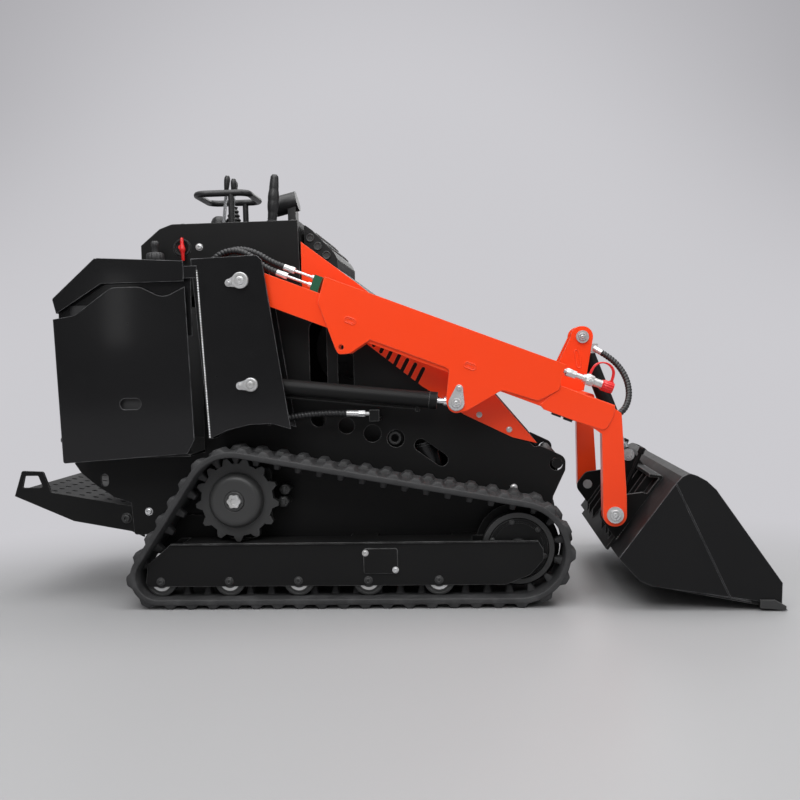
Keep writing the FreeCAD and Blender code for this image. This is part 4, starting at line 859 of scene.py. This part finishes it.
# liner behind the rear rim: its corners along x and the height of its top edge there
linerForm = {
    "x": np.array([-1.046, -1.036, -0.917, -0.905, -0.893, -0.64, -0.592]),
    "top": np.array([1.01, 1.018, 1.108, 1.114, 1.116, 1.116, 1.116]),
    "low": 0.9, "y": 0.4555, "thick": 0.004, "rows": 9,
}


def rearLiner(side):
    # columns rise evenly from the low edge to the top one, and down again at the back
    form, rows = linerForm, linerForm["rows"]
    z = form["low"] + (form["top"][:, None] - form["low"]) * np.linspace(0, 1, rows)
    face = np.stack([np.repeat(form["x"][:, None], rows, 1), np.full(z.shape, side * form["y"]), z], -1)
    rear = face - (0, side * form["thick"], 0)
    grid = np.concatenate([face, rear[:, ::-1]], 1)
    return capped(grid, grid.mean(1)), False, True


for side, word in bothWays:
    buildMesh("rearLiner_" + word, [rearLiner(side)], "gloss_black", 30)

# turned pieces that show through openings or sit on the couplers: without an axis they face outwards; each
# shape has its points round, the depth and number of its waves if it has any, and its profile
couplerAt = [(0.6935, -0.434, 0.7304), (0.6935, -0.398, 0.7304)]
couplerAxis = (0.9307, 0.0, -0.3657)
turnedForms = {
    "tieTube": dict(finish="black_paint", sharp=30, at=[(0.6108, 0.0, 0.4425)], axis=(0, 1, 0), shapes=[
        (48, None, [(0, -0.316), (0.0165, -0.316), (0.019, -0.313), (0.019, 0.313), (0.0165, 0.316),
        (0, 0.316)])]),
    "coolingFan": dict(finish="handle_plastic", sharp=35, at=[(-0.095, 0.0, 0.85)], axis=(0, 1, 0), shapes=[
        (90, None, [(0.118, -0.022), (0.15, -0.022), (0.154, 0), (0.15, 0.022), (0.118, 0.022),
        (0.112, 0), (0.118, -0.022)]),
        (126, (0.25, 7), [(0, -0.01), (0.084, -0.006), (0.088, 0), (0.084, 0.006), (0, 0.01)]),
        (60, None, [(0, -0.026), (0.036, -0.026), (0.04, -0.02), (0.04, 0.02), (0.036, 0.026),
        (0, 0.026)]),
        (90, None, [(0, -0.0025), (0.12, -0.0025), (0.12, 0.0025), (0, 0.0025)])]),
    "oilFilters": dict(finish="gloss_black", sharp=35, at=[(0.186, -0.262, 0.412), (0.186, 0.262, 0.412)],
        axis=(-0.22, 0, 1), shapes=[
        (60, None, [(0, 0), (0.03, 0), (0.037, 0.006), (0.0385, 0.014), (0.0385, 0.098),
        (0.0405, 0.1), (0.0405, 0.108), (0.034, 0.112), (0, 0.112)])]),
    "tubeEnds": dict(finish="cast_parts", sharp=35, at=[(0.0616, -0.292, 0.5362), (0.0616, 0.292, 0.5362)],
        shapes=[
        (48, None, [(0.013, 0), (0.023, 0), (0.023, 0.012), (0.021, 0.014), (0.015, 0.014),
        (0.013, 0.012), (0.013, 0)])]),
    "couplerCollars": dict(finish="zinc", sharp=30, body="boom", at=couplerAt, axis=couplerAxis, shapes=[
        (96, (0.03, 24), [(0, 0.008), (0.0165, 0.008), (0.0175, 0.01), (0.0175, 0.03), (0.0165, 0.032),
        (0, 0.032)]),
        (60, (0.07, 6), [(0, -0.06), (0.0125, -0.06), (0.0135, -0.058), (0.0135, -0.042),
        (0.0125, -0.04), (0, -0.04)])]),
    "capRims": dict(finish="red_plastic", sharp=30, body="boom", at=couplerAt, axis=couplerAxis, shapes=[
        (84, (0.04, 14), [(0, 0.066), (0.0172, 0.066), (0.0182, 0.068), (0.0182, 0.09), (0.017, 0.097),
        (0, 0.097)])]),
}
for name, form in turnedForms.items():
    patches = [turned(profile, at, form.get("axis") or (0, at[1], 0), count, waves(*lobes) if lobes else None)
               for count, lobes, profile in form["shapes"] for at in form["at"]]
    buildMesh(name, patches, form["finish"], form["sharp"], form.get("body", "chassis"))
print("openings filled")

studio = {
    "floor": 30.0, "floorShade": (0.37, 0.37, 0.377), "backShade": (0.60, 0.594, 0.622),
    "cornerShade": (0.38, 0.375, 0.395), "lowMirror": (0.045, 0.045, 0.047), "highMirror": (0.66, 0.66, 0.68),
    "ambient": 0.42, "cloud": 0.9, "centre": (0.1, -1.7, 0), "fade": (1.9, 3.4),
    "middle": (-0.085, 0.994, 0.03), "corner": (0.22, 0.56), "horizon": (0, 0.26), "mirror": (-0.05, 0.75),
    "aim": (0, 0, 0.55), "floorRough": (0.38, 0.15),
    "lamps": {
        "top": dict(at=(0.2, -0.6, 4.6), size=(5.5, 4.5), power=235),
        "front": dict(at=(-0.6, -4.9, 4.3), size=(4.5, 2.4), power=144),
        "side": dict(at=(4.6, -2.4, 2.6), size=(2.6, 2.4), power=24),
        "behind": dict(at=(0, 4.6, 3.0), size=(4.0, 2.4), power=60),
        "shine": dict(at=(-2.25, -4.35, 1.22), size=(0.16, 0.5), power=0.5),
    },
}


def makeFloor():
    half = studio["floor"] / 2
    mesh = bpy.data.meshes.new("floor")
    corners = [(-half, -half, 0), (half, -half, 0), (half, half, 0), (-half, half, 0)]
    mesh.from_pydata(corners, [], [(0, 1, 2, 3)])
    floor = addObject("floor", mesh)
    material = bpy.data.materials.new("floorPaint")
    sheet = Sheet(material)
    at = sheet.add("TexCoord", None, None, 3)
    cloud = sheet.noise(at, studio["cloud"], 4)
    # the floor fades into the plain background away from the machine
    away = sheet.add("VectorMath", {"operation": "DISTANCE"}, {0: at, 1: studio["centre"]}, 1)
    least, more = studio["floorRough"]
    shade = sheet.mix(cloud * 0.35, studio["floorShade"], tuple(c * 0.86 for c in studio["floorShade"]))
    paint = sheet.add("BsdfPrincipled", None, {"Base Color": shade, "Roughness": least + cloud * more,
                                               "Specular IOR Level": 0.35})
    glow = sheet.add("Emission", None, {"Color": studio["backShade"], "Strength": 1.0})
    both = sheet.add("MixShader", None, {0: sheet.step(away, *studio["fade"]), 1: paint, 2: glow})
    sheet.add("OutputMaterial", None, {"Surface": both})
    mesh.materials.append(material)


def makeWorld():
    # plain light on the object; the background for the camera, a dark-to-pale sky in mirrors
    world = bpy.data.worlds.new("studioWorld")
    bpy.context.scene.world = world
    sheet = Sheet(world)
    rays = sheet.add("LightPath").socket.node.outputs
    direct = Wire(sheet, rays["Is Camera Ray"])
    seen = direct + Wire(sheet, rays["Is Glossy Ray"]) + Wire(sheet, rays["Is Transmission Ray"])
    way = sheet.add("TexCoord")
    apart = sheet.add("VectorMath", {"operation": "DISTANCE"}, {0: way, 1: studio["middle"]}, 1)
    rise = sheet.part(way, 2)
    corner = sheet.step(apart, *studio["corner"]) * sheet.step(rise, *studio["horizon"])
    wall = sheet.mix(corner, studio["backShade"], studio["cornerShade"])
    mirror = sheet.mix(sheet.step(rise, *studio["mirror"]), studio["lowMirror"], studio["highMirror"])
    shown = sheet.add("Background", None, {"Color": sheet.mix(direct, mirror, wall), "Strength": 1.0})
    lit = sheet.add("Background", None, {"Color": (1, 1, 1), "Strength": studio["ambient"]})
    both = sheet.add("MixShader", None, {0: seen, 1: lit, 2: shown})
    sheet.add("OutputWorld", None, {"Surface": both})


def placeHolder(name, data, at, right, up, back):
    # an object whose axes are the three given directions
    holder = addObject(name, data)
    turn = Matrix([[right[i], up[i], back[i]] for i in range(3)]).to_4x4()
    turn.translation = at
    holder.matrix_world = turn
    return holder


def makeLamps():
    # each lamp looks from its place at the aim, with its width level
    for name, form in studio["lamps"].items():
        lamp = bpy.data.lights.new(name, "AREA")
        lamp.shape = "RECTANGLE"
        lamp.size, lamp.size_y = form["size"]
        lamp.energy = form["power"]
        back = np.array(form["at"]) - studio["aim"]
        back /= np.linalg.norm(back)
        right = np.cross((0, 0, 1), back)
        right /= np.linalg.norm(right)
        placeHolder(name, lamp, form["at"], right, np.cross(back, right), back)


view = {"at": (0.345, -3.71834, 0.800658), "yaw": 0.0768, "pitch": 0.0391, "roll": -0.0241, "lens": 45.0,
        "sensor": 36.0}


def makeCamera():
    # right, up and back of a camera that looks along +Y, turned left by yaw, down by pitch and rolled
    (cy, sy), (cp, sp), (cr, sr) = ((math.cos(view[k]), math.sin(view[k])) for k in ("yaw", "pitch", "roll"))
    ahead = np.array((-sy * cp, cy * cp, -sp))
    level = np.array((cy, sy, 0))
    rise = np.cross(level, ahead)
    camera = bpy.data.cameras.new("camera")
    camera.lens = view["lens"]
    camera.sensor_width = view["sensor"]
    camera.dof.use_dof = False
    right, up = cr * level + sr * rise, cr * rise - sr * level
    bpy.context.scene.camera = placeHolder("camera", camera, view["at"], right, up, -ahead)


makeFloor()
makeWorld()
makeLamps()
makeCamera()
bpy.context.scene.view_settings.view_transform = "Standard"
print("studio ready")
